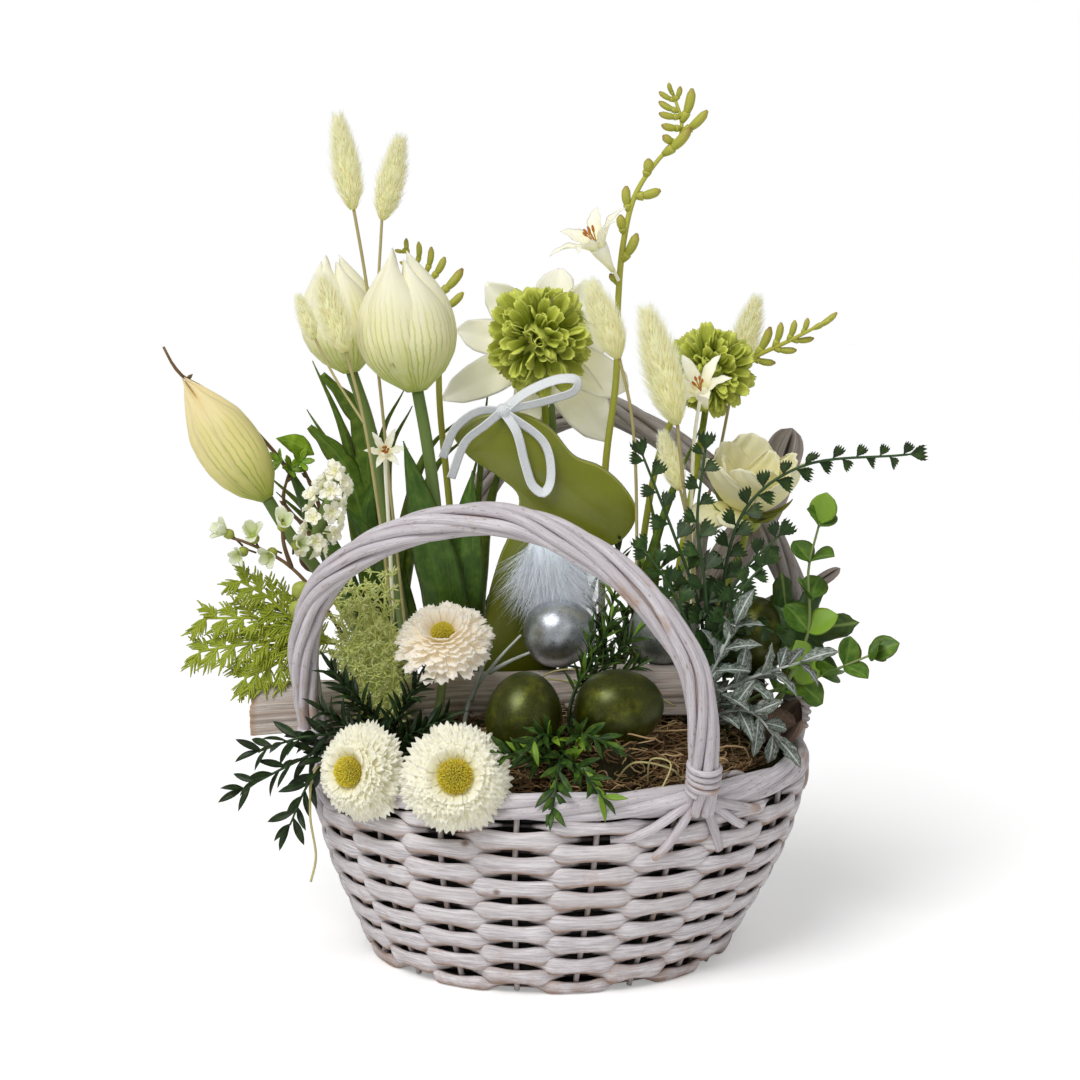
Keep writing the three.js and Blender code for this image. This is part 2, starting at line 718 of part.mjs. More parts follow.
const TULIPS = {
  tulip_1: {
    base: [-162, 5, 270], tip: [-211, 5, 342], radius: 19, open: 0.35,
    stem: [[-163, 5, 271], [-150, 9, 248], [-128, 20, 215], [-96, 34, 152], [-92, 36, 116]],
    leaves: [
      [[-104, 30, 168], [-116, 33, 205], [-140, 36, 255], [-155, 36, 290]],
    ],
    widths: [9, 15, 16, 11, 0],
  },
  tulip_2: {
    base: [-114, 35, 343], tip: [-126, 35, 414], radius: 24, open: 0.62,
    stem: [[-114, 35, 344], [-103, 35, 309], [-97, 38, 266], [-80, 48, 155], [-79, 49, 130]],
    leaves: [
      [[-81, 48, 168], [-94, 54, 210], [-108, 56, 250], [-97, 58, 286]],
      [[-81, 48, 168], [-88, 45, 204], [-106, 42, 240], [-120, 40, 262]],
    ],
    widths: [10, 17, 18, 12, 0],
  },
  tulip_3: {
    base: [-72, -5, 335], tip: [-83, -5, 418], radius: 28, open: 0.55,
    stem: [[-72, -5, 336], [-67, -2, 306], [-62, 6, 262], [-56, 20, 155], [-56, 20, 130]],
    leaves: [
      [[-56, 18, 172], [-58, -1, 205], [-68, -11, 255], [-80, -11, 306]],
      [[-56, 18, 172], [-50, 5, 205], [-46, -1, 245], [-40, 2, 287]],
    ],
    widths: [13, 29, 28, 17, 0],
  },
};

// A bloom of three outer and three inner petals: twelve points round, where every second
// one is a groove between petals, and at the mouth the petals part into their tips.
function cup({ base, tip, radius, open, petals = 6 }) {
  return (swell) => {
    const axis = v(tip).sub(v(base));
    const h = axis.length();
    const place = frameAt(base, axis.toArray());
    const round = (up, reach, groove, dip) =>
      Array.from({ length: petals * 2 }, (_, k) => {
        const turn = (k / petals) * Math.PI;
        const layer = k % 4 < 2 ? 1 : 0.93;
        const share = k % 2 ? groove : layer;
        const out = reach * share * radius + swell;
        const z = (k % 2 ? up - dip : up) * h + (up === 0 ? -swell : swell * (up > 0.9));
        return new THREE.Vector3(Math.cos(turn) * out, Math.sin(turn) * out, z).applyMatrix4(place);
      });
    const mouth = mix(0.72, 1, open);
    return loft([
      round(0, 0.24, 1, 0),
      round(0.14, 0.78, 0.9, 0),
      round(0.42, 1, 0.84, 0),
      round(0.7, mix(0.82, 0.98, open), 0.84, 0),
      round(0.86, mix(0.56, 0.92, open), 0.8, 0.07),
      round(1, open, 0.86, mix(0.34, 0.1, open)),
      round(0.8, open * mouth * 0.72, 0.84, 0.2),
    ]);
  };
}

Object.entries(TULIPS).forEach(([name, tulip]) => add(name + "_bloom", CREAM, [cup(tulip)]));

// ---------------------------------------------------------------- pompoms and lily

const LILY_STEM = [[3, 64, 356], [8, 70, 300], [14, 66, 200], [15, 64, 128]];
const POMPOMS = {
  pompom_1: {
    at: [0, 36, 363], axis: [0, -1, 0.1], size: 34,
    stem: [[0, 38, 360], [3, 44, 320], [6, 44, 220], [5, 42, 130]],
  },
  pompom_2: {
    at: [105, 58, 342], axis: [-0.1, -0.95, 0.3], size: 28,
    stem: [[105, 60, 340], [100, 66, 300], [84, 62, 200], [78, 60, 128]],
  },
};

function pompom({ at, axis, size, stem }, seed) {
  const s = size / 34;
  const roll01 = dice(seed);
  const way = v(axis).normalize();
  const foot = v(at).addScaledVector(way, -6 * s).toArray();
  const top = v(at).addScaledVector(way, 20 * s).toArray();
  const rows = [
    { length: 16, width: 8.4, lean: 104 },
    { length: 15, width: 8.2, lean: 78 },
    { length: 13, width: 6.6, lean: 52 },
    { length: 10, width: 4.2, lean: 26 },
  ];
  const bear = (i) => ({
    length: rows[i].length * s * mix(0.9, 1.12, roll01()),
    widths: [rows[i].width * s],
    thick: 2,
    lean: rows[i].lean,
    blunt: true,
  });
  const drum = spindle(foot, top, [17, 19, 17, 12, 5].map((r) => r * s), 11, 1, bear);
  return [drum, tube(stem, [3, 3])];
}
Object.entries(POMPOMS).forEach(([name, head], i) => add(name, LIME, pompom(head, 51 + i)));

const LILY_PETAL = { length: 58, widths: [17, 27, 20], thick: 1.8, lean: 88 };
add("lily", IVORY, [
  spindle([3, 66, 357], [3, 54, 358], [8, 12, 12, 5], 8, 1, (i) => (i === 1 ? LILY_PETAL : null)),
  tube(LILY_STEM, [3.2, 3.2]),
]);

// ---------------------------------------------------------------- freesias

const FREESIAS = {
  freesia_tall: {
    stem: [[40, 44, 128], [38, 42, 200], [40, 40, 286], [47, 38, 338], [48, 36, 386],
      [50, 35, 421], [60, 35, 446], [73, 35, 472], [83, 35, 492], [88, 35, 508]],
    foot: 0.7, steps: 14, bud: 15,
  },
  freesia_left: {
    stem: [[-52, 46, 128], [-54, 44, 240], [-62, 36, 330], [-57, 33, 372], [-56, 34, 392],
      [-61, 35, 408], [-72, 36, 421]],
    foot: 0.84, steps: 8, bud: 12.5,
  },
  freesia_right: {
    stem: [[62, 76, 128], [66, 80, 240], [84, 80, 312], [118, 78, 343], [150, 62, 361],
      [178, 47, 377]],
    foot: 0.8, steps: 10, bud: 14,
  },
};

// Buds stand in two close rows on the upper side of the bent stem.
function freesia({ stem, foot, steps, bud }) {
  const bear = (i, k) => {
    const size = mix(1.15, 0.7, i / steps);
    const shape = { length: bud * size, widths: [5 * size], thick: 5 * size, lean: 32 };
    return k === i % 2 ? shape : null;
  };
  return [tube(stem, [2.3, 2, 1.7, 1.1], { steps, foot, footSteps: 6, bear })];
}
Object.entries(FREESIAS).forEach(([name, spray]) => add(name, paint("#a3ad4c", 0.6), freesia(spray)));

const STARS = {
  star_1: { at: [34, 22, 419], axis: [-0.5, -0.5, 0.6], size: 27, foot: [[47, 33, 398], [34, 22, 419]] },
  star_2: { at: [95, 4, 334], axis: [-0.1, -0.9, 0.3], size: 23,
    foot: [[92, 22, 120], [92, 20, 200], [91, 18, 260], [92, 12, 305], [95, 4, 334]] },
  star_3: {
    at: [-92, 4, 297], axis: [0.1, -0.8, 0.5], size: 15,
    foot: [[-90, 26, 130], [-90, 20, 220], [-92, 9, 286], [-92, 4, 297]],
  },
};

// Six narrow petals round the mouth of a slim trumpet.
function star({ at, axis, size, foot }) {
  const petal = {
    length: size - 2, widths: [size * 0.42], thick: 1.6, lean: 72,
  };
  const base = v(at).addScaledVector(v(axis).normalize(), -size * 0.3).toArray();
  const trumpet = spindle(base, at, [1.4, 2.6, 3.2], 6, 1, (i) => (i === 1 ? petal : null));
  return [trumpet, tube([...foot.slice(0, -1), base], [1.6, 1.7], { sides: 4 })];
}
Object.entries(STARS).forEach(([name, flower]) => add(name, IVORY, star(flower)));

// ---------------------------------------------------------------- cream bloom

add("cream_bloom", CREAM, [
  cup({ base: [126, 22, 258], tip: [128, 11, 297], radius: 31, open: 0.9, petals: 6 }),
]);
const SEPAL = { length: 27, widths: [10], thick: 1.6, lean: 84 };
add("cream_bloom_calyx", LIME, [
  tube([[125, 26, 247], [122, 34, 232], [112, 44, 200], [104, 48, 128]], [2.6, 2.6]),
  spindle([125, 26, 246], [126, 22.4, 258.6], [2.6, 4, 6], 5, 1, (i) => (i === 1 ? SEPAL : null)),
]);

// ---------------------------------------------------------------- bunny tails

const TAIL_SIDES = 6;
const TAILS = {
  bunny_tails_1: {
    heads: [
      { base: [-110, 17, 440], tip: [-119, 16, 498], radius: 10.5 },
      { base: [-93, 17, 434], tip: [-81, 16, 485], radius: 10 },
    ],
    stems: [
      [[-110, 17, 442], [-104, 18, 405], [-97, 18.5, 350], [-88, 22, 250], [-76, 24, 130]],
      [[-93, 17, 436], [-96, 18, 395], [-99, 18.3, 362]],
    ],
  },
  bunny_tails_2: {
    heads: [
      { base: [-112, -28, 359], tip: [-126, -28, 404], radius: 11 },
      { base: [-130, -26, 366], tip: [-139, -25, 392], radius: 6 },
    ],
    stems: [
      [[-112, -28, 361], [-103, -25, 325], [-94, -12, 258], [-86, 18, 150], [-86, 18, 130]],
      [[-130, -26, 368], [-118, -26, 344], [-102, -24, 318]],
    ],
  },
  bunny_tail_3: {
    heads: [{ base: [46, -5, 354], tip: [28, -5, 400], radius: 12 }],
    stems: [[[46, -5, 356], [54, -2, 320], [58, 12, 250], [56, 26, 130]]],
  },
  bunny_tails_4: {
    heads: [
      { base: [80, -14, 316], tip: [60, -15, 388], radius: 14 },
      { base: [83, 4, 275], tip: [72, 4, 311], radius: 8 },
    ],
    stems: [
      [[80, -14, 318], [84, -10, 283], [90, 2, 240], [96, 20, 130]],
      [[83, 4, 277], [88, 4, 255], [91, 3, 232]],
    ],
  },
  bunny_tail_5: {
    heads: [{ base: [123, 96, 336], tip: [137, 96, 388], radius: 11 }],
    stems: [[[123, 96, 338], [114, 92, 290], [92, 80, 200], [82, 72, 114]]],
  },
};

// A furred head: a long oval whose faces stand out in tufts that lean to the tip.
function tail({ base, tip, radius }) {
  const rings = [0.3, 0.85, 0.95, 0.66, 0.2].map((r) => r * radius);
  const tuft = { length: radius * 0.5, widths: [], lean: 38 };
  return spindle(base, tip, rings, TAIL_SIDES, 1, () => tuft);
}
Object.entries(TAILS).forEach(([name, { heads, stems }]) => {
  add(name, STRAW, [...heads.map(tail), ...stems.map((line) => tube(line, [1, 1.1], { sides: 4 }))]);
});

// ---------------------------------------------------------------- stems with leaves

Object.entries(TULIPS).forEach(([name, tulip]) => {
  add(name + "_stem", STEM, [
    tube(tulip.stem, [3.6, 3.9, 4.2]),
    ...tulip.leaves.map((line) =>
      blade(line, tulip.widths, [1, -0.25, 0], { thick: 2, fold: 0.14 }),
    ),
  ]);
});

const BELLIS_3_STEM = [[-68, -62, 116], [-58, -44, 158], [-55, -38, 189]];
const BELLIS_LEAF = { length: 18, widths: [6.5], thick: 1.5, lean: 62, droop: 0.1 };
add("bellis_stems", FRESH_LEAF, [
  tube([[-98, -89, 133], [-86, -77, 134], [-68, -64, 116]], [2.6, 2.6], { steps: 3 }),
  tube([[-46, -126, 136], [-52, -104, 137], [-68, -64, 118]], [2.6, 2.6], { steps: 4 }),
  leafy(BELLIS_3_STEM, [2.6, 2.6], { steps: 4, foot: 0.5, leaf: BELLIS_LEAF, seed: 91 }),
]);

// ---------------------------------------------------------------- right-hand foliage

// Maidenhair-like fronds: small fans, wider to their blunt ends, on both sides of a rib.
const FAN = { length: 13, widths: [3, 11], thick: 1.2, lean: 62, along: true, blunt: true };

// Leaflets leave a four-sided rib by turns from its left and right faces.
function frond(line, radii, steps, foot, leaf) {
  const bear = (i, k) => (k === (i % 2 ? 0 : 2) ? leaf : null);
  return tube(line, radii, { steps, foot, footSteps: 2, bear });
}

add("fern_fronds", DARK_LEAF, [
  frond([[99, -26, 128], [94, -28, 205], [79, -30, 250], [60, -30, 298]], [1.5, 0.9], 8, 0.3, FAN),
  frond([[99, -26, 128], [97, -32, 215], [91, -34, 262], [95, -34, 302]], [1.5, 0.9], 8, 0.35, FAN),
  frond([[99, -26, 128], [100, -36, 190], [114, -42, 206], [136, -44, 198]], [1.5, 0.9], 5, 0.4, FAN),
]);
const PINNA = { length: 14, widths: [6], thick: 1.3, lean: 58, along: true };
add("fern_long", DARK_LEAF, [
  frond([[112, -16, 128], [108, -14, 220], [121, -18, 268], [152, -20, 292], [214, -20, 299]],
    [1.7, 1.2, 0.8], 15, 0.52, PINNA),
]);

// The lobed leaf: a palmate plate with cut edges, seen half from its side.
const IVY = { points: 22, reach: 28, slim: 0.68, at: [160, 21, 207], axis: [0.4, -0.9, 0.15] };
const IVY_OUTLINE = Array.from({ length: IVY.points }, (_, k) => {
  const turn = (k / IVY.points) * 2 * Math.PI;
  const lobe = (0.78 + 0.22 * Math.cos(5 * turn)) * (k % 2 ? 0.88 : 1) * IVY.reach;
  return [-Math.sin(turn) * lobe * IVY.slim, Math.cos(turn) * lobe];
});
add("ivy_leaf", LEAF, [
  plate(IVY_OUTLINE, 1.4, frameAt(IVY.at, IVY.axis)),
  tube([[160, 20, 196], [158, 15, 178], [145, 2, 150], [122, -2, 114]], [1.6, 1.8], { steps: 4 }),
]);

const ROUND_STEMS = [
  [[112, 8, 128], [128, -2, 150], [156, 2, 158], [198, 0, 176]],
  [[112, 8, 128], [140, -4, 148], [160, -2, 190], [160, 0, 228], [166, 0, 256]],
];
const ROUND_LEAF = {
  length: 18, widths: [14, 10], thick: 1.4, lean: 64, droop: 0.12, blunt: true,
};
add("round_leaf_sprigs", FRESH_LEAF, [
  leafy(ROUND_STEMS[0], [1.8, 1.2], { steps: 7, foot: 0.42, leaf: ROUND_LEAF, seed: 141 }),
  leafy(ROUND_STEMS[1], [1.8, 1.2], { steps: 8, foot: 0.5, leaf: ROUND_LEAF, seed: 142 }),
]);

const FROST_STEMS = [
  [[86, -44, 128], [98, -46, 158], [120, -50, 172], [150, -50, 182]],
  [[86, -44, 128], [104, -52, 152], [122, -58, 154], [134, -64, 142]],
];
const FROST_LEAF = { length: 24, widths: [8.5], thick: 1.4, lean: 40, droop: 0.1 };
add("frosted_sprig", paint("#8fa79a", 0.6), [
  leafy(FROST_STEMS[0], [1.8, 1.2], { steps: 9, foot: 0.34, leaf: FROST_LEAF, seed: 151 }),
  leafy(FROST_STEMS[1], [1.8, 1.2], { steps: 7, foot: 0.34, leaf: FROST_LEAF, seed: 152 }),
]);

// ---------------------------------------------------------------- dried pods

const POD_SHAPE = [0.3, 0.95, 1, 0.7, 0.34]; // shares of its radius at even steps

// A ribbed pod: ridges and slots by turns, pinched at both ends.
function pod(line, radius) {
  const radii = POD_SHAPE.map((share) => share * radius);
  return tube(line, radii, { sides: 8, steps: radii.length - 1, groove: 0.78 });
}

add("dried_pods", DRIED, [
  pod([[99, 68, 190], [122, 92, 222], [143, 102, 252], [161, 106, 302]], 10),
  pod([[102, 66, 196], [132, 64, 188], [164, 65, 203], [188, 66, 218]], 8),
  pod([[99, 66, 188], [92, 50, 210], [96, 44, 236], [100, 46, 258]], 7),
  tube([[101, 68, 200], [96, 64, 170], [94, 60, 128]], [5.5, 3.4], { steps: 2 }),
]);
// The open capsule: a short cup whose valves stand apart.
const VALVE = { length: 17, widths: [7.5], thick: 2.2, lean: 28 };
add("dried_capsule", paint("#5b4636", 0.9), [
  tube([[139, -10, 130], [136, -9, 112]], [3, 3]),
  spindle([139, -10, 128], [143, -17, 142], [5, 10, 11], 6, 1, (i) => (i === 1 ? VALVE : null)),
]);

// ---------------------------------------------------------------- left-hand foliage

// White blossom cluster: florets that flare from a slim core.
const FLORET = { length: 9, widths: [2.4, 7], thick: 5, lean: 80, blunt: true };
const CLUSTER_STEM = [[-128, -9, 250], [-118, 0, 215], [-101, 20, 150], [-96, 25, 114]];
add("white_cluster", IVORY, [
  spindle([-138, -9, 236], [-118, -9, 288], [3, 7, 7, 5, 2], 6, 1, (i, k) =>
    (i + k) % 3 ? FLORET : null,
  ),
  tube(CLUSTER_STEM, [1.7, 1.7], { sides: 4 }),
]);

const BLOSSOM_STEMS = [
  [[-92, -18, 128], [-118, -22, 196], [-146, -18, 232], [-172, -14, 246], [-186, -12, 250]],
  [[-146, -18, 232], [-150, -22, 248], [-150, -24, 262]],
];
const BLOSSOM = { length: 14, widths: [9], thick: 1.8, lean: 56 };
add("blossom_sprig", paint("#b9cf8c", 0.7), [
  leafy(BLOSSOM_STEMS[0], [1.7, 1.2], { steps: 9, foot: 0.62, leaf: BLOSSOM, seed: 191 }),
  leafy(BLOSSOM_STEMS[1], [1.3, 1.1], { steps: 4, foot: 0.2, leaf: BLOSSOM, seed: 192 }),
]);

const TWIG = [[-84, 48, 116], [-114, 54, 200], [-160, 46, 290], [-208, 26, 336], [-221, 20, 358]];
const TWIG_LEAF = { length: 18, widths: [6.5], thick: 1.4, lean: 45 };
add("twigs", paint("#6b4f35", 0.9), [
  leafy(TWIG, [2, 1.6, 1.1], { steps: 7, foot: 0.6, sides: 4, skip: 1, leaf: TWIG_LEAF, seed: 193 }),
  tube([[-126, 54, 218], [-136, 44, 262], [-150, 40, 296]], [1.4, 1], { sides: 4 }),
]);

const GRASS_ROOT = [-90, 56, 114];
const GRASS = [
  [GRASS_ROOT, [-110, 64, 220], [-120, 62, 300], [-140, 62, 348]],
  [GRASS_ROOT, [-112, 62, 230], [-124, 62, 284], [-144, 62, 318]],
  [GRASS_ROOT, [-96, 64, 220], [-98, 68, 300], [-84, 72, 330]],
  [GRASS_ROOT, [-90, 66, 210], [-70, 72, 290], [-46, 74, 314]],
  [GRASS_ROOT, [-118, 60, 200], [-140, 58, 250], [-168, 56, 278]],
];
add("grass_blades", LEAF, GRASS.map((line, i) =>
  blade(line, [5, 8.5, 8, 0], i % 2 ? [0.9, 0.3, 0] : [0.95, -0.3, 0.1], { thick: 1.6 }),
));

// Needle sprays: slim stems with two needles at every step past their bare foot.
function spray(stems, { steps, foot, length, lean, seed }) {
  const leaf = { length, widths: [], lean };
  return stems.map((line, i) =>
    leafy(line, [1.6, 1.2], { steps, sides: 3, foot, each: 2, leaf, seed: seed + i }),
  );
}

const CYPRESS_STEMS = [
  [[-98, 18, 114], [-104, 17, 150], [-124, 8, 182], [-160, -4, 198], [-200, -8, 200]],
  [[-124, 8, 182], [-150, -2, 186], [-178, -8, 184], [-203, -10, 180]],
  [[-124, 8, 182], [-146, 0, 196], [-162, -4, 212], [-178, -6, 222]],
];
const CYPRESS_NEEDLES = { steps: 9, foot: 0.4, length: 15, lean: 46, seed: 201 };
add("cypress_spray", FRESH_LEAF, spray(CYPRESS_STEMS, CYPRESS_NEEDLES));

const PUFF_ROOT = [-94, -28, 118];
const PUFF_STEMS = [[-118, -32, 184], [-118, -30, 214], [-90, -26, 228], [-96, -38, 200]].map(
  (tip) => [PUFF_ROOT, [mix(PUFF_ROOT[0], tip[0], 0.5), -30, mix(PUFF_ROOT[2], tip[2], 0.6)], tip],
);
const PUFF_NEEDLES = { steps: 6, foot: 0.5, length: 14, lean: 60, seed: 211 };
add("moss_puff", paint("#9fbf7a", 0.9), spray(PUFF_STEMS, PUFF_NEEDLES));

const NEEDLE_STEMS = [
  [[-88, -52, 124], [-96, -54, 150], [-112, -58, 170]],
  [[-88, -52, 124], [-104, -60, 142], [-124, -62, 156]],
  [[-88, -52, 124], [-82, -54, 150], [-70, -58, 172]],
];
const DARK_NEEDLES = { steps: 8, foot: 0.35, length: 22, lean: 42, seed: 221 };
add("needle_foliage", DARK_LEAF, spray(NEEDLE_STEMS, DARK_NEEDLES));

const RUSCUS_STEMS = [
  [[-96, -42, 124], [-112, -56, 138], [-138, -66, 128], [-170, -70, 112]],
  [[-96, -42, 124], [-112, -58, 137], [-132, -70, 116], [-143, -74, 92]],
];
const RUSCUS_LEAF = { length: 25, widths: [9], thick: 1.4, lean: 40, droop: 0.08 };
add("ruscus_sprig", DARK_LEAF, [
  leafy(RUSCUS_STEMS[0], [1.7, 1.1], { steps: 8, foot: 0.42, leaf: RUSCUS_LEAF, seed: 231 }),
  leafy(RUSCUS_STEMS[1], [1.7, 1.1], { steps: 6, foot: 0.42, leaf: RUSCUS_LEAF, seed: 232 }),
]);

// The front sprig: two branches over the rim between the eggs and one up behind them.
const FRONT_STEMS = [
  [[16, -62, 124], [14, -88, 138], [10, -116, 136], [7, -134, 118]],
  [[16, -62, 124], [16, -92, 134], [24, -118, 134], [34, -132, 124]],
  [[16, -62, 124], [4, -96, 136], [-10, -112, 142], [-20, -122, 146]],
  [[16, -62, 124], [18, -52, 160], [34, -34, 186], [42, -32, 200]],
];
add("front_sprig", FRESH_LEAF, spray(FRONT_STEMS, { steps: 6, foot: 0.4, length: 18, lean: 42, seed: 241 }));

const MOUND_LIMBS = MOUNDS.map(({ at, radius }) => mound(at, radius));
add("filler", paint("#4a3a2a", 0.95), [filler, ...MOUND_LIMBS], MOSS.tolerance);

export default group;
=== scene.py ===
"""Looks of the flower basket arrangement. Lengths are in millimetres until a mesh is made."""
import math

import bpy
import numpy as np
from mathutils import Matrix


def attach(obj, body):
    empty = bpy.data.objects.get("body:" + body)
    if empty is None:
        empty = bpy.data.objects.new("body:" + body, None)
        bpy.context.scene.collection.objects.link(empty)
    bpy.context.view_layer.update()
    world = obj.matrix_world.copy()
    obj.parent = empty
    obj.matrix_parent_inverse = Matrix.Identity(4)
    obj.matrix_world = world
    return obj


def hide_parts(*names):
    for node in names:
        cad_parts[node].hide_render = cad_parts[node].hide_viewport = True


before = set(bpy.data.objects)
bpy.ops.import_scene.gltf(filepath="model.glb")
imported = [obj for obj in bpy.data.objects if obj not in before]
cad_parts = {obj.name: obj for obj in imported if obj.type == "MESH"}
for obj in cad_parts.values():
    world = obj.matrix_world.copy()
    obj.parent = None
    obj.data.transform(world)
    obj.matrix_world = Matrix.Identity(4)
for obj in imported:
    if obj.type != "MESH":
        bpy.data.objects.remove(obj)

MM = 0.001
BODY = "root"
UP = np.array([0.0, 0.0, 1.0])
PI = math.pi
TURN = 2 * PI
GOLDEN = PI * (3 - math.sqrt(5))
ALONG_SHIFT, ROD_SHIFT, BLADE_SHIFT = 37, 11, 29  # how far a strand's tone moves it through the noise

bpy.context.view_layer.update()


# ---------------------------------------------------------------- numbers and lines


def mix(a, b, t):
    """From a at 0 to b at 1."""
    return a + (b - a) * t


def unit(v):
    """Vectors of length 1."""
    v = np.asarray(v, float)
    return v / np.maximum(np.linalg.norm(v, axis=-1, keepdims=True), 1e-9)


def even(count):
    """count numbers from 0 to 1."""
    return np.linspace(0, 1, count)


def circle(count):
    """count angles round a full turn."""
    return np.linspace(0, TURN, count, endpoint=False)


def across_zero(count):
    """count numbers from -1 to 1."""
    return np.linspace(-1, 1, count)


def vector(values):
    """A list of numbers, or of points, to reckon with."""
    return np.array(values, float)


def xyz(x, y, z):
    """Three fields of numbers as one field of points."""
    return np.stack(np.broadcast_arrays(x, y, z), axis=-1)


def spokes(a, b, angle):
    """Ways in the plane of a and b, turned from a by the angle."""
    return a * np.cos(angle)[..., None] + b * np.sin(angle)[..., None]


def strands(root, aim, reach, share):
    """Straight strands from their roots along aim, as points at each share of their reach."""
    return root[:, None] + aim[:, None] * (share[:, None] * reach[:, None, None])


def rooted(root, *paths):
    """The paths, all from one root."""
    return [[root, *path] for path in paths]


def spiral(count):
    """Even shares of 1 and the turns of a sunflower's spiral."""
    return (np.arange(count) + 0.5) / count, np.arange(count) * GOLDEN


def ease(t):
    """A soft step from 0 to 1."""
    t = np.clip(t, 0, 1)
    return t * t * (3 - 2 * t)


def profile(t, values):
    """The values, evenly spaced from 0 to 1, read at t."""
    return np.interp(t, even(len(values)), values)


def spaced(line, count):
    """count points evenly along a line of points."""
    step = np.linalg.norm(np.diff(line, axis=0), axis=1)
    run = np.concatenate([[0], np.cumsum(step)])
    at = np.linspace(0, run[-1], count)
    return np.stack([np.interp(at, run, line[:, i]) for i in range(3)], axis=1)


def smooth(points, count):
    """count points evenly along the rounded curve through points."""
    p = np.asarray(points, float)
    if len(p) == 2:
        return spaced(p, count)
    p = np.vstack([2 * p[0] - p[1], p, 2 * p[-1] - p[-2]])
    u = np.linspace(0, 1, 20, endpoint=False)[:, None]
    out = []
    for a, b, c, d in zip(p, p[1:], p[2:], p[3:]):
        before, here, after = (max(np.linalg.norm(v), 1e-6) ** 0.5 for v in (b - a, c - b, d - c))
        leave = ((b - a) / before - (c - a) / (before + here) + (c - b) / here) * here
        reach = ((c - b) / here - (d - b) / (here + after) + (d - c) / after) * here
        out.append(b + leave * u + (3 * (c - b) - 2 * leave - reach) * u**2
                   + (leave + reach - 2 * (c - b)) * u**3)
    return spaced(np.vstack([*out, p[-2][None]]), count)


def run_along(lines):
    """How far each point of each line lies from its start."""
    run = np.cumsum(np.linalg.norm(np.diff(lines, axis=1), axis=2), axis=1)
    return np.concatenate([np.zeros((len(lines), 1)), run], axis=1)


def directions(line, hint=(0.3, -1.0, 0.1)):
    """Along the line and the two ways across it, without twist. line is (..., points, 3)."""
    along = unit(np.gradient(line, axis=-2))
    side = np.empty_like(along)
    last = np.broadcast_to(np.asarray(hint, float), along[..., 0, :].shape)
    for i in range(line.shape[-2]):
        here = along[..., i, :]
        last = unit(last - here * np.sum(last * here, axis=-1, keepdims=True))
        side[..., i, :] = last
    return along, side, np.cross(along, side)


def across(axis):
    """Two directions square to an axis, for one axis or many."""
    axis = unit(axis)
    first = unit(np.cross(axis, np.where(np.abs(axis[..., 2:3]) > 0.9, [1.0, 0.0, 0.0], UP)))
    return first, np.cross(axis, first)


def wobble(rng, count, waves=3):
    """A smooth random function of t for each of count strands."""
    pitch = rng.uniform(0.6, 1.4, (count, waves)) * np.arange(1, waves + 1) * 2
    phase = rng.uniform(0, TURN, (count, waves))
    size = 1 / np.arange(1, waves + 1) ** 0.7

    def at(t):
        """The function's values at t, a row for each strand."""
        t = np.broadcast_to(t, (count, np.shape(t)[-1]))
        return np.sum(size[None, :, None] * np.sin(
            TURN * pitch[:, :, None] * t[:, None, :] + phase[:, :, None]), axis=1)

    return at


# ---------------------------------------------------------------- meshes


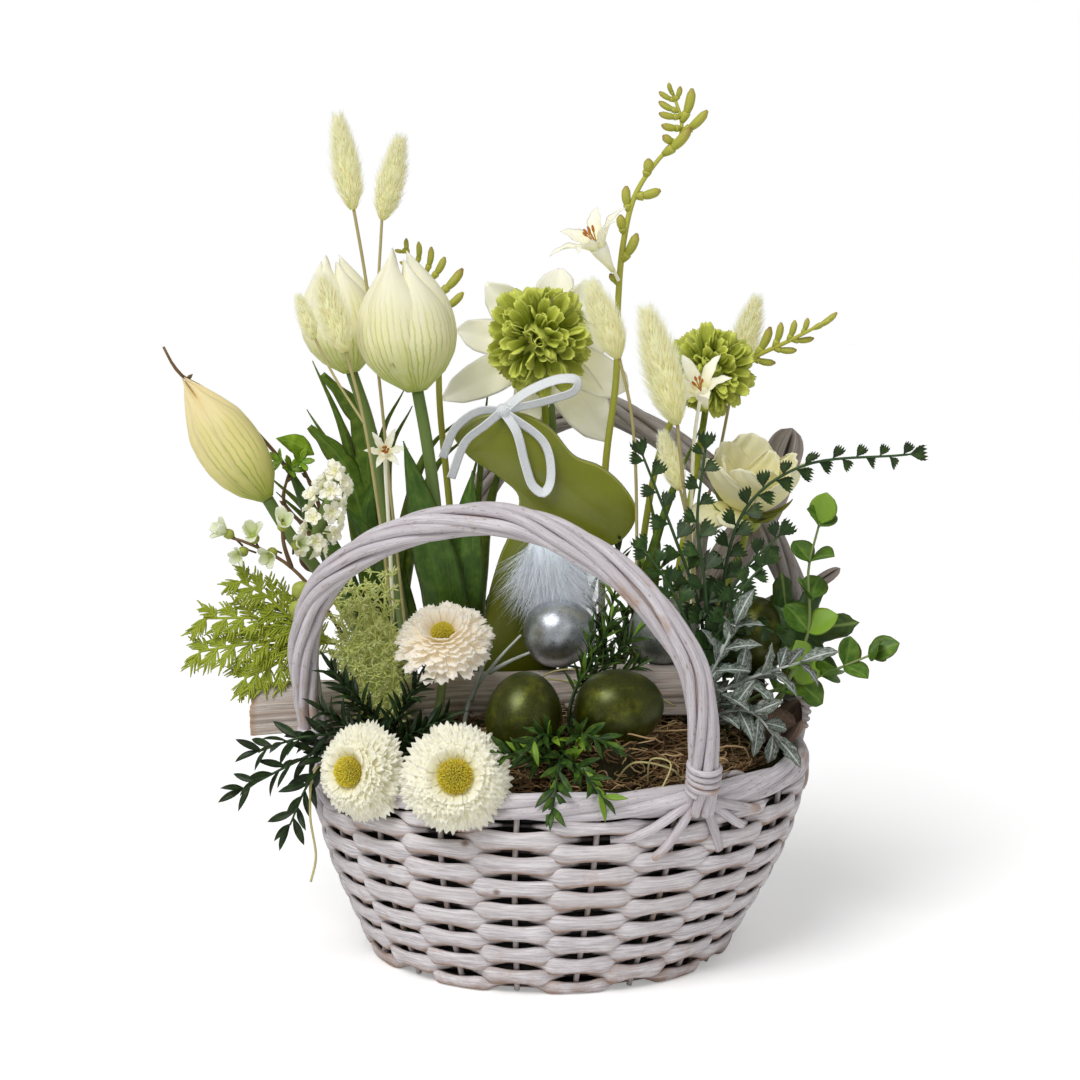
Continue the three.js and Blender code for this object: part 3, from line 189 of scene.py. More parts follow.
class Piece:
    """Strands of rings joined into one mesh, with the values that its material reads."""

    def __init__(self, name, seed):
        self.name = name
        self.rng = np.random.default_rng(seed)
        self.count = 0
        self.points, self.flow, self.shade, self.faces = [], [], [], []

    def add(self, rings, flow, shade, caps="face"):
        """rings, flow and shade are (strands, rings, points, 3). caps is face, strip or none."""
        n, k, m, _ = rings.shape
        index = np.arange(n * k * m).reshape(n, k, m) + self.count
        after = np.roll(index, -1, axis=2)
        quads = np.stack([index[:, :-1], after[:, :-1], after[:, 1:], index[:, 1:]], axis=-1)
        self.faces.append(quads.reshape(-1, 4))
        for ring in (index[:, 0, ::-1], index[:, -1]):
            if caps == "face":
                self.faces.append(ring)
            if caps == "strip":
                self.close_strip(ring)
        self.points.append(rings.reshape(-1, 3))
        self.flow.append(np.broadcast_to(flow, rings.shape).reshape(-1, 3))
        self.shade.append(np.broadcast_to(shade, rings.shape).reshape(-1, 3))
        self.count += n * k * m

    def close_strip(self, ring):
        """Closes the thin end of a blade from one edge to the other."""
        ring = np.roll(ring, ring.shape[1] - 1, axis=1) if ring[0, 0] > ring[0, 1] else ring
        m = ring.shape[1]
        j = np.arange(1, m // 2 - 1)
        quads = np.stack([ring[:, j], ring[:, j + 1], ring[:, m - j - 1], ring[:, m - j]], axis=-1)
        self.faces.append(quads.reshape(-1, 4))
        self.faces.append(ring[:, [0, 1, m - 1]])
        self.faces.append(ring[:, [m // 2 - 1, m // 2, m // 2 + 1]])

    def tones(self, n, tone):
        """One tone for each strand, at random where none is given."""
        tone = self.rng.random(n) if tone is None else np.broadcast_to(tone, (n,))
        return tone[:, None, None]

    def tubes(self, lines, radius, sides=8, flat=1.0, tone=None, extra=0.0, hint=(0.3, -1.0, 0.1)):
        """Round or flattened rods along lines (n, k, 3). radius is (n, k) or less."""
        lines = np.asarray(lines, float)
        if lines.ndim == 2:
            lines = lines[None]
        n, k, _ = lines.shape
        radius = np.broadcast_to(radius, (n, k))
        _, side, other = directions(lines, hint)
        c, s = np.cos(circle(sides)), np.sin(circle(sides))
        radius = radius[..., None]
        rings = lines[:, :, None] + (side[:, :, None] * c[:, None] + other[:, :, None] * (s * flat)[:, None]
                                     ) * radius[..., None]
        tone = self.tones(n, tone)
        along = run_along(lines)[..., None] + ALONG_SHIFT * tone
        flow = xyz(along, radius * c, radius * s + ROD_SHIFT * tone)
        self.add(rings, flow, xyz(even(k)[:, None], tone, np.broadcast_to(extra, (n, k))[..., None]))

    def sheets(self, middle, thick, tone=None, extra=None, width=1.0):
        """Thin closed blades over grids of points (n, k, c, 3), k along and c across."""
        n, k, c, _ = middle.shape
        normal = unit(np.cross(np.gradient(middle, axis=2), np.gradient(middle, axis=1)))
        s = across_zero(c)
        half = np.broadcast_to(thick, (n, k))[:, :, None, None] / 2 * np.sqrt(1 - s**2)[:, None]
        tone = self.tones(n, tone)
        along = run_along(middle[:, :, c // 2])[..., None] + ALONG_SHIFT * tone
        flow = xyz(along, s * width, BLADE_SHIFT * tone)
        shade = xyz(even(k)[:, None], tone, s if extra is None else extra)

        def wrap(top, low):
            """One closed ring from the upper and the lower side."""
            return np.concatenate([top, low[:, :, -2:0:-1]], axis=2)

        self.add(wrap(middle + normal * half, middle - normal * half), wrap(flow, flow), wrap(shade, shade),
                 "strip")

    def make(self, look, slot, *nodes):
        """The finished Blender object, which rides on the body in place of the nodes."""
        points = np.concatenate(self.points) * MM
        loops = np.concatenate([f.ravel() for f in self.faces]).astype(np.int32)
        sizes = np.concatenate([np.full(len(f), f.shape[1]) for f in self.faces])
        starts = np.concatenate([[0], np.cumsum(sizes)[:-1]]).astype(np.int32)
        mesh = bpy.data.meshes.new(self.name)
        mesh.vertices.add(len(points))
        mesh.vertices.foreach_set("co", points.ravel())
        mesh.loops.add(len(loops))
        mesh.loops.foreach_set("vertex_index", loops)
        mesh.polygons.add(len(sizes))
        mesh.polygons.foreach_set("loop_start", starts)
        mesh.update(calc_edges=True)
        mesh.polygons.foreach_set("use_smooth", np.ones(len(sizes), bool))
        for name, values in (("flow", self.flow), ("shade", self.shade)):
            layer = mesh.attributes.new(name, "FLOAT_VECTOR", "POINT")
            layer.data.foreach_set("vector", np.concatenate(values).astype(np.float32).ravel())
        mesh.validate()
        mesh.materials.append(LOOKS[look])
        taken = self.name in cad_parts
        made = bpy.data.objects.new(self.name + "_detail" if taken else self.name, mesh)
        bpy.context.scene.collection.objects.link(made)
        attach(made, BODY)
        if nodes:
            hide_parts(*nodes)
        return made


def fan(rng, at, out, face, length, width, widths, lean=0.0, curl=0.0, cup=0.0,
        ruffle=0.0, waves=3.0, notch=0.0, fold=0.0, teeth=0.0, comb=2.5, rows=9, columns=5):
    """Grids of petals that grow from at along out, their upper sides towards face."""
    out, face = unit(out), np.asarray(face, float)
    n = len(out)
    at = np.broadcast_to(at, (n, 3))
    face = unit(face - out * np.sum(out * face, axis=1, keepdims=True))
    length, width, lean, curl, cup, ruffle = (
        np.broadcast_to(v, (n,))[:, None] for v in (length, width, lean, curl, cup, ruffle))
    t = even(rows)[None]
    angle = lean + curl * t**1.4
    heading = spokes(out[:, None], face[:, None], angle)
    normal = face[:, None] * np.cos(angle)[..., None] - out[:, None] * np.sin(angle)[..., None]
    steps = (heading[:, 1:] + heading[:, :-1]) / 2 * (length / (rows - 1))[..., None]
    middle = at[:, None] + np.concatenate([np.zeros((n, 1, 3)), np.cumsum(steps, axis=1)], axis=1)
    s = across_zero(columns)
    half = profile(t, widths) * width / 2 * (1 + teeth * np.cos(np.arange(rows) * PI))
    phase = rng.uniform(0, TURN, (n, 1, 1))
    lift = (cup[..., None] * half[..., None] * s**2 + fold * half[..., None] * np.abs(s)
            + ruffle[..., None] * np.sin(TURN * waves * t[..., None] + phase + 1.3 * s) * np.abs(s) ** 1.5
            * np.sin(PI * np.clip(t[..., None], 0, 0.9)))
    side = np.cross(out, face)[:, None, None]
    tooth = notch * length[..., None] * np.cos(s * PI * comb) * t[..., None] ** 6
    return (middle[:, :, None] + side * (half[..., None] * s)[..., None]
            + normal[:, :, None] * lift[..., None] + heading[:, :, None] * tooth[..., None])


def ring_of(count, axis, start=0.0, spread=0.3, rng=None):
    """Directions round an axis, evenly or with some disorder."""
    angle = np.arange(count) * TURN / count + start
    if rng is not None:
        angle = angle + rng.uniform(-0.5, 0.5, count) * spread * TURN / count
    return spokes(*across(axis), angle)


def blade(line, widths, side, fold=0.14, rows=24, columns=7, ruffle=0.0, lobes=0.0):
    """The grid of one long leaf along a line, folded about its middle."""
    path = smooth(line, rows)
    along = unit(np.gradient(path, axis=0))
    side = unit(side - along * np.sum(along * side, axis=1, keepdims=True))
    normal = np.cross(along, side)
    t = even(rows)
    half = (profile(t, widths) * (1 + lobes * np.abs(np.sin(t * 6.5 * PI))))[:, None, None] / 2
    s = across_zero(columns)[None, :, None]
    lift = fold * np.abs(s) * half * 2 + fold * 0.6 * s**2 * half
    if ruffle:
        lift = lift + ruffle * np.sin(9 * t[:, None, None] * PI + 2 * s) * np.abs(s) ** 2
    return (path[:, None] + side[:, None] * half * s + normal[:, None] * lift)[None]


# ---------------------------------------------------------------- materials


RICH = 1.14


def srgb(code):
    """A screen colour like "#a0b0c0", made a little richer, in the renderer's own scale."""
    r, g, b = (int(code[i:i + 2], 16) for i in (1, 3, 5))
    grey = (r + g + b) / 3
    shown = (min(max((grey + (c - grey) * RICH) / 255, 0), 1) for c in (r, g, b))
    return tuple(c / 12.92 if c <= 0.04045 else ((c + 0.055) / 1.055) ** 2.4 for c in shown) + (1.0,)


class Look:
    """One material, built a node at a time."""

    def __init__(self, name):
        self.material = bpy.data.materials.new(name)
        self.material.use_nodes = True
        self.tree = self.material.node_tree
        self.tree.nodes.clear()
        self.flow = self.node("ShaderNodeAttribute", attribute_name="flow").outputs["Vector"]
        split = self.node("ShaderNodeSeparateXYZ", {0: self.node(
            "ShaderNodeAttribute", attribute_name="shade").outputs["Vector"]})
        self.along, self.tone, self.extra = split.outputs[:3]

    def node(self, kind, inputs=None, **settings):
        """A new shader node with its settings and inputs."""
        made = self.tree.nodes.new(kind)
        for key, value in settings.items():
            setattr(made, key, value)
        for key, value in (inputs or {}).items():
            self.put(made.inputs[key], value)
        return made

    def put(self, socket, value):
        """A link, a colour code or a plain value into an input."""
        if isinstance(value, bpy.types.NodeSocket):
            self.tree.links.new(value, socket)
        else:
            socket.default_value = srgb(value) if isinstance(value, str) else value

    def noise(self, scale, stretch=(1, 1, 1), detail=4.0, rough=0.55, bend=0.0):
        """Noise over the piece; scale is in cycles per millimetre."""
        placed = self.node("ShaderNodeMapping", {"Vector": self.flow, "Scale": stretch})
        return self.node("ShaderNodeTexNoise", {
            "Vector": placed.outputs[0], "Scale": scale, "Detail": detail,
            "Roughness": rough, "Distortion": bend}).outputs["Fac"]

    def cells(self, scale, stretch=(1, 1, 1)):
        """The distance to the nearest of many scattered points."""
        placed = self.node("ShaderNodeMapping", {"Vector": self.flow, "Scale": stretch})
        return self.node("ShaderNodeTexVoronoi", {
            "Vector": placed.outputs[0], "Scale": scale}).outputs["Distance"]

    def math(self, operation, a, b=0.0):
        """A sum, product or function of one or two values."""
        return self.node("ShaderNodeMath", {0: a, 1: b}, operation=operation).outputs[0]

    def ramp(self, value, *stops):
        """Each stop is (place, colour or grey)."""
        made = self.node("ShaderNodeValToRGB", {0: value})
        elements = made.color_ramp.elements
        for i, (place, colour) in enumerate(stops):
            stop = elements[i] if i < 2 else elements.new(place)
            stop.position = place
            stop.color = srgb(colour) if isinstance(colour, str) else (colour, colour, colour, 1.0)
        return made.outputs[0]

    def blend(self, share, a, b, kind="MIX"):
        """From colour a to colour b by the share."""
        made = self.node("ShaderNodeMix", {0: share, 6: a, 7: b}, data_type="RGBA", blend_type=kind)
        return made.outputs[2]

    def cover(self, base, colour, value, start, full, share):
        """A layer of colour over base, from none at the value start to the share at full."""
        return self.blend(self.ramp(value, (start, 0.0), (full, share)), base, colour)

    def parts(self):
        """The three parts of flow: along, over and through the piece."""
        return self.node("ShaderNodeSeparateXYZ", {0: self.flow}).outputs

    def bump(self, height, strength, depth, under=None):
        """A normal that shows the height in relief, depth in millimetres."""
        inputs = {"Height": height, "Strength": strength, "Distance": depth * MM}
        if under is not None:
            inputs["Normal"] = under
        return self.node("ShaderNodeBump", inputs).outputs[0]

    def finish(self, colour, roughness, normal=None, **settings):
        """The material, its surface made from the colour and the settings."""
        shader = self.node("ShaderNodeBsdfPrincipled")
        self.put(shader.inputs["Base Color"], colour)
        self.put(shader.inputs["Roughness"], roughness)
        if normal is not None:
            self.put(shader.inputs["Normal"], normal)
        for key, value in settings.items():
            self.put(shader.inputs[key.replace("_", " ")], value)
        out = self.node("ShaderNodeOutputMaterial")
        self.tree.links.new(shader.outputs[0], out.inputs["Surface"])
        return self.material


def willow(name, pale, low, worn, wear=0.62):
    """White-washed split willow: lengthwise grain, tan where the wash is rubbed off, knots."""
    look = Look(name)
    grain = look.noise(1.1, (0.05, 1.0, 1.0), 6.0, 0.7)
    patches = look.noise(0.045, (0.5, 1.0, 1.0), 5.0, 0.6)
    specks = look.noise(0.7, (0.3, 1.0, 1.0), 3.0, 0.6)
    base = look.blend(look.ramp(grain, (0.34, 0.0), (0.64, 1.0)), low, pale)
    base = look.cover(base, low, look.tone, 0.2, 1.0, 0.35)
    rubbed = look.ramp(patches, (wear - 0.02, 0.0), (wear + 0.06, 0.75))
    base = look.blend(rubbed, base, worn)
    base = look.cover(base, "#846a58", specks, 0.62, 0.68, 0.6)
    base = look.blend(look.math("MULTIPLY", look.extra, 0.55), base, worn)
    normal = look.bump(grain, 0.55, 0.5)
    normal = look.bump(patches, 0.3, 0.8, normal)
    rough = look.ramp(grain, (0.3, 0.78), (0.7, 0.55))
    return look.finish(base, rough, normal, Specular_IOR_Level=0.3)


STRIPE_BEND, STRIPE_PITCH = 6.0, 1.9
THREADS_ALONG, THREADS_OVER = 9.0, 14.0


def petal_look(name, root, middle, tip, streak, depth=0.35, fine=2.2, thin=0.3, split=0.35, stripes=None,
               glow=0.05):
    """Silk petals: colour along the petal, fine lengthwise veins, some light through them, and a painted
    glow.
    """
    look = Look(name)
    veins = look.noise(fine, (0.08, 1.0, 1.0), 3.0, 0.6)
    cloud = look.noise(0.12, (1, 1, 1), 4.0, 0.6)
    base = look.ramp(look.along, (0.0, root), (split, middle), (1.0, tip))
    base = look.blend(look.ramp(veins, (0.42, 0.0), (0.75, depth)), base, streak)
    base = look.cover(base, tip, cloud, 0.35, 0.8, 0.3)
    if stripes:
        over = look.parts()[1]
        bend = look.math("MULTIPLY", cloud, STRIPE_BEND)
        comb = look.math("SINE", look.math("ADD", look.math("MULTIPLY", over, STRIPE_PITCH), bend))
        fade = look.ramp(look.along, (0.0, 1.0), (0.3, 0.75), (0.75, 0.0))
        patch = look.ramp(look.noise(0.07, (0.3, 1, 1), 3.0, 0.6), (0.4, 0.0), (0.56, 1.0))
        line = look.math("MULTIPLY", look.ramp(comb, (0.4, 0.0), (1.0, 0.85)), fade)
        line = look.math("MULTIPLY", line, patch)
        base = look.blend(line, base, stripes)
    # darker by tone: a random tone, and painted shade where a piece sets the tone by place, as in the bellis
    # and pompom
    shade = look.ramp(look.tone, (0.0, 0.9), (1.0, 1.0))
    base = look.blend(1.0, base, shade, "MULTIPLY")
    normal = look.bump(veins, 0.35, 0.25)
    # painted light: the emission, by glow, makes the petals glow in their own colour
    return look.finish(base, 0.6, normal, Specular_IOR_Level=0.25, Subsurface_Weight=thin,
                       Subsurface_Scale=0.004, Subsurface_Radius=(1.0, 0.9, 0.5), Sheen_Weight=0.05,
                       Emission_Color=base, Emission_Strength=glow)


def leaf_look(name, dark, mid, light, vein, gloss=0.42, scale=1.0, vein_share=0.5, dust=0.0, young=None,
              glow=0.0):
    """Leaves: a midrib, side veins from noise along the blade, mottled green."""
    look = Look(name)
    cloud = look.noise(0.16 * scale, (1, 1, 1), 4.0, 0.6)
    fine = look.noise(1.6 * scale, (0.1, 1.0, 1.0), 3.0, 0.6)
    base = look.ramp(cloud, (0.28, dark), (0.52, mid), (0.8, light))
    base = look.cover(base, dark, look.tone, 0.0, 1.0, 0.45)
    base = look.cover(base, light, fine, 0.5, 0.75, 0.4)
    if young:
        base = look.cover(base, young, look.tone, 0.74, 0.9, 0.85)
    rib = look.ramp(look.math("ABSOLUTE", look.extra), (0.0, vein_share), (0.16, 0.0))
    base = look.blend(rib, base, vein)
    if dust:
        powder = look.noise(1.3, (0.4, 1, 1), 5.0, 0.75)
        base = look.blend(look.ramp(powder, (0.45, 0.0), (0.62, dust)), base, "#dee2de")
    normal = look.bump(fine, 0.4, 0.3)
    normal = look.bump(cloud, 0.25, 0.8, normal)
    # painted light: the emission, by glow, makes the leaves glow in their own colour
    return look.finish(base, gloss, normal, Specular_IOR_Level=0.28, Subsurface_Weight=0.08,
                       Subsurface_Scale=0.003, Emission_Color=base, Emission_Strength=glow)


def stem_look(name, low, high, mark, end=None):
    """Stems, twigs and buds: one colour turning into another, with marks and a second tip."""
    look = Look(name)
    grain = look.noise(0.9, (0.12, 1, 1), 4.0, 0.6)
    base = look.ramp(look.along, (0.0, low), (1.0, high))
    base = look.cover(base, mark, grain, 0.4, 0.75, 0.6)
    if end:
        base = look.blend(look.extra, base, end)
    return look.finish(base, 0.5, look.bump(grain, 0.4, 0.3), Specular_IOR_Level=0.35)


def fuzz_look(name, root, middle, tip, glow=0.25, light=0.0):
    """Hair or plush: every strand keeps its own tone."""
    look = Look(name)
    grain = look.noise(0.7, (0.3, 1, 1), 3.0, 0.6)
    base = look.ramp(look.along, (0.0, root), (0.45, middle), (1.0, tip))
    base = look.cover(base, root, look.tone, 0.0, 1.0, 0.35)
    base = look.cover(base, tip, grain, 0.4, 0.8, 0.3)
    # painted light: the emission, by light, makes the hair glow in its own colour; glow sets the light
    # through it
    return look.finish(base, 0.7, look.bump(grain, 0.2, 0.1), Specular_IOR_Level=0.2, Sheen_Weight=0.3,
                       Subsurface_Weight=glow, Subsurface_Scale=0.004, Emission_Color=base,
                       Emission_Strength=light)


def egg_look(name, dark, pale, glint, metal, speckle, roughness):
    """Painted eggs: satin metallic lacquer, brushed and slightly mottled, its glint patches a painted
    highlight.
    """
    look = Look(name)
    cloud = look.noise(0.09, (1, 1, 1), 5.0, 0.65)
    fine = look.noise(1.5, (1, 1, 1), 4.0, 0.7)
    drops = look.cells(0.55)
    # painted highlight: glint, the brightest colour of the mottle and of the fine flecks
    base = look.ramp(cloud, (0.3, dark), (0.55, pale), (0.8, glint))
    base = look.cover(base, glint, fine, 0.5, 0.75, 0.45)
    base = look.blend(look.ramp(drops, (0.1, speckle), (0.3, 0.0)), base, dark)
    normal = look.bump(fine, 0.3, 0.25)
    normal = look.bump(cloud, 0.2, 0.5, normal)
    return look.finish(base, look.ramp(fine, (0.3, roughness - 0.06), (0.7, roughness + 0.1)), normal,
                       Metallic=metal, Coat_Weight=0.15, Coat_Roughness=0.25)


def wood_look(name, dark, mid, pale, crack, fine=0.85):
    """Weathered wood: lengthwise ridges, darker rings and cracks."""
    look = Look(name)
    ridges = look.noise(fine, (0.02, 1, 1), 6.0, 0.75)
    rings = look.noise(0.2, (0.1, 1, 1), 4.0, 0.6, 0.6)
    base = look.ramp(ridges, (0.25, dark), (0.5, mid), (0.75, pale))
    base = look.cover(base, crack, rings, 0.5, 0.7, 0.5)
    base = look.blend(look.extra, base, crack)
    normal = look.bump(ridges, 0.9, 1.0)
    return look.finish(base, 0.8, normal, Specular_IOR_Level=0.2)


def satin_look(name, low, high, edge):
    """The rabbit's lacquered olive wood: painted shade low down, edges pale with wear and painted highlight.
    """
    look = Look(name)
    cloud = look.noise(0.03, (1, 1, 1), 4.0, 0.5)
    fine = look.noise(0.7, (1, 0.2, 1), 4.0, 0.6)
    # painted shade: darker towards the bottom
    base = look.ramp(look.along, (0.0, low), (0.75, high))
    base = look.cover(base, low, cloud, 0.4, 0.7, 0.25)
    # pale edges: partly wear, partly painted highlight
    base = look.blend(look.extra, base, edge)
    normal = look.bump(fine, 0.12, 0.3)
    return look.finish(base, look.ramp(fine, (0.3, 0.26), (0.7, 0.36)), normal, Coat_Weight=0.35,
                       Coat_Roughness=0.2)


def weave_look(name, pale, shadow):
    """Ribbon: fine threads along and across, slightly shiny."""
    look = Look(name)
    parts = look.parts()
    along = look.math("SINE", look.math("MULTIPLY", parts[0], THREADS_ALONG))
    over = look.math("SINE", look.math("MULTIPLY", parts[1], THREADS_OVER))
    threads = look.math("MULTIPLY", along, over)
    height = look.math("ADD", look.math("MULTIPLY", threads, 0.5), 0.5)
    edge = look.ramp(look.math("ABSOLUTE", look.extra), (0.72, 0.0), (0.9, 0.7))
    base = look.blend(look.ramp(height, (0.2, 0.0), (0.9, 1.0)), shadow, pale)
    base = look.blend(edge, base, pale)
    # painted light: the emission makes the ribbon glow in its own colour
    return look.finish(base, 0.38, look.bump(height, 0.5, 0.15), Sheen_Weight=0.4, Specular_IOR_Level=0.5,
                       Emission_Color=base, Emission_Strength=0.14)


LOOKS = {
    "willow": willow("white_washed_willow", "#e7e4e8", "#b6afb4", "#b29886"),
    # a darker copy of the willow for the stakes, the bottom and the back handle: painted shade, as these lie
    # in shadow
    "willow_shaded_copy": willow("willow_painted_shade", "#c4bebe", "#9c9391", "#948274", 0.56),
    "lining": leaf_look("black_lining", "#0e0d0e", "#161516", "#201f20", "#1e1e1e", 0.5, 1.0, 0.0),
    "silver": egg_look("silver_lacquer", "#92969c", "#c8ccd2", "#eceef2", 0.85, 0.25, 0.29),
    "speckled": egg_look("speckled_silver_lacquer", "#626a64", "#9ca29c", "#c8ccc8", 0.7, 0.95, 0.4),
    "olive": egg_look("olive_lacquer", "#282c0a", "#404510", "#787a22", 0.6, 0.35, 0.33),
    "log": wood_look("driftwood", "#887c73", "#cac0b8", "#ece5df", "#b4967a", 1.5),
    "rabbit": satin_look("olive_satin", "#3e4406", "#787e1c", "#b0b460"),
    "fur": fuzz_look("white_fur", "#d6d9e0", "#f0f2f7", "#fcfcfe", 0.4, 0.08),
    "ribbon": weave_look("white_ribbon", "#fafbfc", "#b0b6ba"),
    "bellis": petal_look("cream_petals", "#cece6e", "#f9f4cc", "#fdfae6", "#e8e2b0", 0.25, glow=0.06),
    "bellis_peach": petal_look("peach_petals", "#d8ce5c", "#faecce", "#fef7e8", "#f0dcb8", 0.3, glow=0.1),
    "eye": fuzz_look("yellow_eye", "#968608", "#c8b416", "#ead84e", 0.2, 0.02),
    "tulip": petal_look("tulip_petals", "#aab834", "#f4eec0", "#fbf8e4", "#e4e092", 0.4, 0.4, 0.25, 0.4,
        "#96ae22", glow=0.07),
    "tulip_bud": petal_look("tulip_bud_petals", "#a0b230", "#eee49e", "#f8e4b8", "#e0d678", 0.4, 0.4, 0.25,
        0.36, "#8ca428", glow=0.03),
    "lime": petal_look("lime_petals", "#384204", "#9aa624", "#dee478", "#68740e", thin=0.1, glow=0.0),
    "calyx": leaf_look("lime_calyx", "#606c1e", "#86922e", "#acb450", "#bac06c"),
    "ivory": petal_look("ivory_petals", "#d0d080", "#f7f4d8", "#fdfbec", "#e0ddb2", 0.45, glow=0.15),
    "cup": petal_look("pale_cup_petals", "#d0c868", "#f2ecb2", "#f9f5d4", "#e4da94", glow=0.03),
    "bud": stem_look("freesia_buds", "#969e3e", "#bcbc5c", "#a8a046", "#88623e"),
    "stamen": stem_look("orange_stamens", "#c4963c", "#b06828", "#8c501e"),
    "tail": fuzz_look("straw_fuzz", "#dbd38a", "#f1edbc", "#fbfae5", 0.4, 0.14),
    "straw_stem": stem_look("dry_stems", "#b0a678", "#c4be8c", "#a09260"),
    "tulip_leaf": leaf_look("tulip_leaves", "#2e4616", "#425e24", "#68823c", "#5e7a3a", 0.45, 0.7, 0.25),
    "tulip_stem": stem_look("tulip_stems", "#60763a", "#92a06c", "#748650"),
    "grass": leaf_look("grass_blades", "#3a5418", "#587226", "#809640", "#748e46", 0.45),
    "fresh": leaf_look("fresh_leaves", "#345218", "#54762a", "#809c46", "#8aa458", 0.45, young="#88aa42"),
    "dark": leaf_look("dark_leaves", "#0e1c0d", "#1a2c14", "#344c24", "#3e542e", 0.42),
    "fern": leaf_look("fern_leaflets", "#14280f", "#263e1a", "#48622c", "#385226", 0.45),
    "ivy": leaf_look("ivy_leaf", "#223a16", "#365222", "#567234", "#809656", 0.45, 1.0, 0.85),
    "frost": leaf_look("frosted_leaves", "#263628", "#425242", "#708070", "#dee6e2", 0.55, 1.0, 0.95, 0.55),
    "cypress": leaf_look("cypress_sprays", "#58640c", "#7e8c18", "#acb63e", "#aeb850", 0.5),
    "puff": leaf_look("pale_moss", "#a4ac54", "#c6cc80", "#e6e8ba", "#d2d696", 0.6, 1.0, 0.0, glow=0.07),
    "lime_tip": leaf_look("lime_tips", "#466814", "#709224", "#a0be46", "#96b250", 0.45),
    "pod": wood_look("dried_pods", "#6a605a", "#a49a92", "#d2cac2", "#4a403a"),
    "twig": stem_look("brown_twigs", "#5e4830", "#7a6242", "#4c3826"),
    "fibre": stem_look("coco_fibres", "#604a30", "#967854", "#42301e", "#ccb088"),
    "fern_stem": stem_look("fern_stems", "#283e24", "#3a542c", "#243422"),
    "frost_stem": stem_look("frosted_twigs", "#969e94", "#ced4ce", "#787668"),
    "front_leaf": leaf_look("front_leaves", "#142810", "#2a441a", "#5c7c2c", "#547230", 0.42,
        young="#7ea038"),
    "blossom": petal_look("green_white_petals", "#8ca248", "#d4dea8", "#f4f6e2", "#b8c880"),
    "capsule": wood_look("brown_capsule", "#524238", "#7e6a5c", "#b09e8e", "#3e3028"),
    "soil": wood_look("moss_bed", "#1e1c12", "#322e1c", "#4e442a", "#3c421e"),
}


# ---------------------------------------------------------------- stage, camera and light


FLOOR_HALF, FLOOR_GREY, FLOOR_GLOW, FLOOR_ROUGHNESS = 6.0, 0.95, 0.3, 0.9
SKY_POWER = 0.36
SUN_POWER, SUN_SPREAD, SUN_TILT, SUN_TURN = 1.55, 32, 36, -34
LAMPS = (("key", (-0.7, -1.2, 1.3), 0.55, 4.5), ("fill", (1.2, -1.1, 0.8), 1.2, 1.2))
LAMP_TARGET = [0, 0, 0.22]
CAMERA_PLACE, CAMERA_TILT, LENS, SENSOR = (0, -1.3, 0.44), 8.5, 73.7, 36


def placed(name, data, place=(0, 0, 0), turn=(0, 0, 0)):
    """A stage object in the scene."""
    made = bpy.data.objects.new(name, data)
    made.location, made.rotation_euler = place, turn
    bpy.context.scene.collection.objects.link(made)
    return made


def build_floor():
    """A white sheet of paper that glows a little for the camera alone."""
    floor = bpy.data.meshes.new("floor")
    corners = [(x * FLOOR_HALF, y * FLOOR_HALF, 0) for x, y in ((-1, -1), (1, -1), (1, 1), (-1, 1))]
    floor.from_pydata(corners, [], [(0, 1, 2, 3)])
    paper = bpy.data.materials.new("floor_paper")
    paper.use_nodes = True
    tree = paper.node_tree
    shader = tree.nodes["Principled BSDF"].inputs
    shader["Base Color"].default_value = (FLOOR_GREY, FLOOR_GREY, FLOOR_GREY, 1)
    shader["Emission Color"].default_value = (1, 1, 1, 1)
    shader["Roughness"].default_value = FLOOR_ROUGHNESS
    lift = tree.nodes.new("ShaderNodeMath")
    lift.operation = "MULTIPLY"
    lift.inputs[1].default_value = FLOOR_GLOW
    tree.links.new(tree.nodes.new("ShaderNodeLightPath").outputs["Is Camera Ray"], lift.inputs[0])
    tree.links.new(lift.outputs[0], shader["Emission Strength"])
    floor.materials.append(paper)
    placed("floor", floor)


def build_sky():
    """Soft white light from all round, in front of plain white."""
    world = bpy.data.worlds.new("studio")
    world.use_nodes = True
    tree = world.node_tree
    sky, white = tree.nodes["Background"], tree.nodes.new("ShaderNodeBackground")
    for background, power in ((sky, SKY_POWER), (white, 1.0)):
        background.inputs["Color"].default_value = (1.0, 1.0, 1.0, 1)
        background.inputs["Strength"].default_value = power
    choose = tree.nodes.new("ShaderNodeMixShader")
    tree.links.new(tree.nodes.new("ShaderNodeLightPath").outputs["Is Camera Ray"], choose.inputs[0])
    tree.links.new(sky.outputs[0], choose.inputs[1])
    tree.links.new(white.outputs[0], choose.inputs[2])
    tree.links.new(choose.outputs[0], tree.nodes["World Output"].inputs["Surface"])
    bpy.context.scene.world = world


def build_lights():
    """A broad soft sun, a key lamp from the left and a weak fill from the right."""
    sun = bpy.data.lights.new("soft_sun", "SUN")
    sun.energy, sun.angle = SUN_POWER, math.radians(SUN_SPREAD)
    placed("soft_sun", sun, turn=(math.radians(SUN_TILT), 0, math.radians(SUN_TURN)))
    for name, place, width, power in LAMPS:
        lamp = bpy.data.lights.new(name, "AREA")
        lamp.energy, lamp.size = power, width
        aim = np.array(LAMP_TARGET) - np.array(place)
        yaw = math.atan2(aim[0], -aim[1])
        tilt = math.atan2(math.hypot(aim[0], aim[1]), -aim[2])
        placed(name, lamp, place, (tilt, 0, yaw + PI))


def build_camera():
    """The view of the photograph."""
    camera = bpy.data.cameras.new("camera")
    camera.lens, camera.sensor_width = LENS, SENSOR
    turn = (math.radians(90 - CAMERA_TILT), 0, 0)
    bpy.context.scene.camera = placed("camera", camera, CAMERA_PLACE, turn)
    bpy.context.scene.view_settings.view_transform = "Standard"


